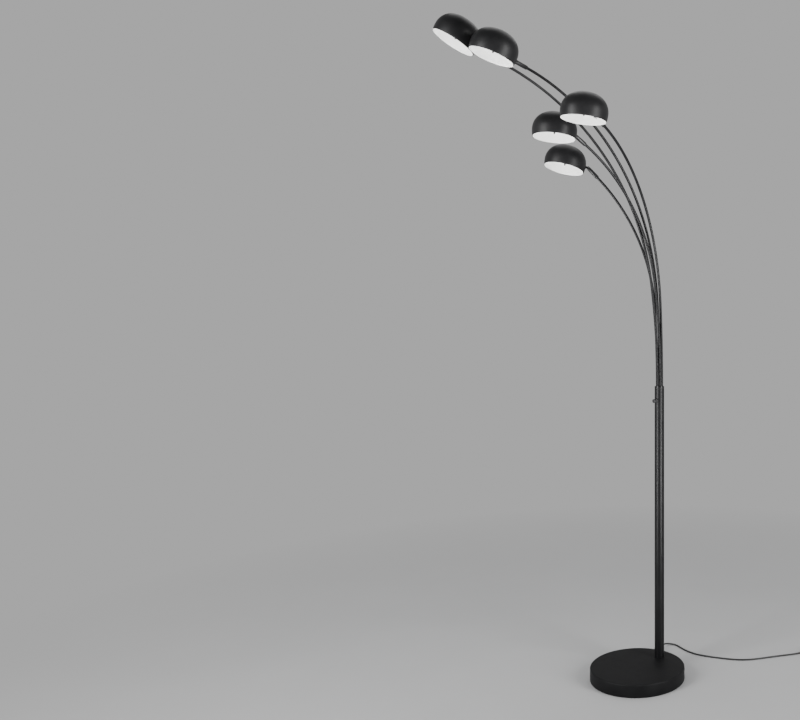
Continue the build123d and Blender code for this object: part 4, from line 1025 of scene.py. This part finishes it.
print("half turns:", len(coil_sides) - 1)

# %% Tail and the whole lead
PLUG_START = Vector((-616.0, 307.8, 7.0))
tail_y, tail_z = coil_sides[-1]
tail_route = [(COIL_CENTRE[0] + dx, tail_y + dy, tail_z + dz) for dx, dy, dz in (
    (-6.0, 0.0, 0.0), (-23.0, 0.0, 0.0), (-45.0, 1.0, -4.2), (-68.0, 7.5, -6.2),
    (-84.0, 23.0, -5.2))]
tail_route += [tuple(PLUG_START - Y * 12.0), tuple(PLUG_START)]
lead_points = floor_route + coil_route + tail_route
lead_curve = bpy.data.curves.new("mains_lead", "CURVE")
lead_curve.dimensions = "3D"
lead_curve.bevel_depth = CORD_DIAMETER / 2 * MM
lead_curve.bevel_resolution = 4
lead_curve.resolution_u = 6
lead_curve.use_fill_caps = True
spline = lead_curve.splines.new("NURBS")
spline.points.add(len(lead_points) - 1)
for knot, passed in zip(spline.points, lead_points):
    knot.co = (*[v * MM for v in passed], 1)
spline.order_u = 3
spline.use_endpoint_u = True
lead_curve.materials.append(lead_sheath)
mains_lead = add_object("mains_lead", lead_curve)
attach(mains_lead, "lamp_stand")
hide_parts("cord_run", "cord_coil")
print("lead points:", len(lead_points))

# %% [markdown]
# ## Strain relief, strap and plug
# The relief is a tapering moulding with ribs, thick at the base's wall and thin at its tip. The
# strap is a flat nylon band round one side of the coil. The plug is one moulding: a waisted body
# that widens from the lead to the face, a short ribbed neck, and two round pins.

# %% Strain relief
RELIEF_FOOT = Vector((-137.71, -42.10, 8.0))
relief_line = Vector(RELIEF_TIP) - RELIEF_FOOT
relief_length = relief_line.length
relief = [(0.0, -1.2), (4.2, -1.2), (4.2, 0.0), (6.2, 0.0), (6.5, 0.3), (6.5, 1.6), (6.2, 2.0)]
RIBS = 7
rib_pitch = (relief_length - 5.0) / RIBS
for rib in range(RIBS):
    at = 3.0 + rib * rib_pitch
    reach = 4.9 - 1.7 * (rib + 0.5) / RIBS
    relief += [(reach - 0.9, at), (reach - 0.1, at + 0.15), (reach, at + 0.4),
               (reach - 0.05, at + rib_pitch * 0.62), (reach - 0.2, at + rib_pitch * 0.72),
               (reach - 0.9, at + rib_pitch * 0.78)]
relief += [(2.95, relief_length - 1.6), (2.9, relief_length - 0.2), (2.7, relief_length),
           (2.4, relief_length)]
stand("strain_relief", turned(relief, 36), plug_sheath, "lamp_stand", "cord_gland",
      where=own_frame(RELIEF_FOOT, Z, relief_line), sharp=40)
print("strain relief length", round(relief_length, 1))

# %% Strap
STRAP_WIDTH, STRAP_HEIGHT = 13.6, 11.05
STRAP_WALL, STRAP_CORNER, STRAP_RUN = 0.6, 2.4, 6.0
STRAP_PLACE = (-499.2, 286.0, 6.125)


def rounded_box(width, height, radius, steps=6):
    """The outline of a rectangle with round corners."""
    outline = []
    for k, (sx, sy) in enumerate(((1, 1), (-1, 1), (-1, -1), (1, -1))):
        centre = (sx * (width / 2 - radius), sy * (height / 2 - radius))
        outline += arc_points(centre, radius, 90 * k, 90 * k + 90, steps)
    return outline


def grown(by):
    """The strap's inner outline, larger by a margin all round."""
    return rounded_box(STRAP_WIDTH + 2 * by, STRAP_HEIGHT + 2 * by, STRAP_CORNER + by)


inside, soft_outside, outside = grown(0.0), grown(STRAP_WALL - 0.15), grown(STRAP_WALL)
edge_y = STRAP_RUN / 2
strap_layers = [(inside, -edge_y), (soft_outside, -edge_y), (outside, 0.2 - edge_y),
                (outside, edge_y - 0.2), (soft_outside, edge_y), (inside, edge_y)]
strap_vertices = [(x, y, height) for outline, height in strap_layers for x, y in outline]
strap_shape = strap_vertices, walls(len(strap_layers), len(inside), loop=True)
strap = stand("coil_strap", strap_shape, strap_nylon, "lamp_stand", "cord_tie",
              where=own_frame(STRAP_PLACE, X, -Y))
print("strap points:", len(strap_vertices))

# %% Plug body
PLUG_NECK, PLUG_LENGTH = 8.0, 38.0
# share of the body's length, width, thickness
PLUG_SECTIONS = (
    (0.0, 24.4, 12.4), (0.02, 25.6, 13.4), (0.05, 26.0, 13.8), (0.15, 26.6, 14.0),
    (0.30, 28.9, 14.0), (0.45, 31.6, 14.0), (0.60, 34.2, 14.0), (0.68, 34.8, 14.0),
    (0.94, 35.0, 14.0), (0.98, 34.5, 13.6), (1.0, 33.2, 12.4))
plug_frame = own_frame(PLUG_START, X, Y)
plug_vertices = [(x, y, PLUG_NECK + PLUG_LENGTH * share) for share, width, thickness in PLUG_SECTIONS
                 for x, y in rounded_box(width, thickness, 5.0)]
rows, around = len(PLUG_SECTIONS), len(plug_vertices) // len(PLUG_SECTIONS)
neck_profile = [(0.0, 0.0), (2.6, 0.0)]
for rib in range(3):
    at = 0.4 + 2.5 * rib
    neck_profile += [(3.2, at), (3.9, at + 0.4), (3.9, at + 1.3), (3.2, at + 1.7)]
neck_profile += [(3.6, PLUG_NECK + 1.0), (0.0, PLUG_NECK + 1.0)]
plug_shape = joined((plug_vertices, walls(rows, around) + ends(rows, around)),
                    turned(neck_profile, 28))
plug_body = stand("plug_body", plug_shape, plug_sheath, "lamp_stand", "mains_plug",
                  where=plug_frame, sharp=32)
print("plug", PLUG_NECK + PLUG_LENGTH, "mm long")

# %% Plug pins
pin_profile = [(0.0, 19.0), (1.3, 19.0), (1.85, 18.6), (2.0, 17.9), (2.0, -1.0), (0.0, -1.0)]
plug_face = PLUG_NECK + PLUG_LENGTH
two_pins = joined(*[moved(turned(pin_profile, 24), Matrix.Translation((x, 0, plug_face)))
                    for x in (-9.5, 9.5)])
plug_blades = stand("plug_blades", two_pins, pin_steel, "lamp_stand", "plug_pins",
                    where=plug_frame)
nodes["inner_lead"].material_slots[0].material = lead_sheath
print("pins placed at", plug_face)
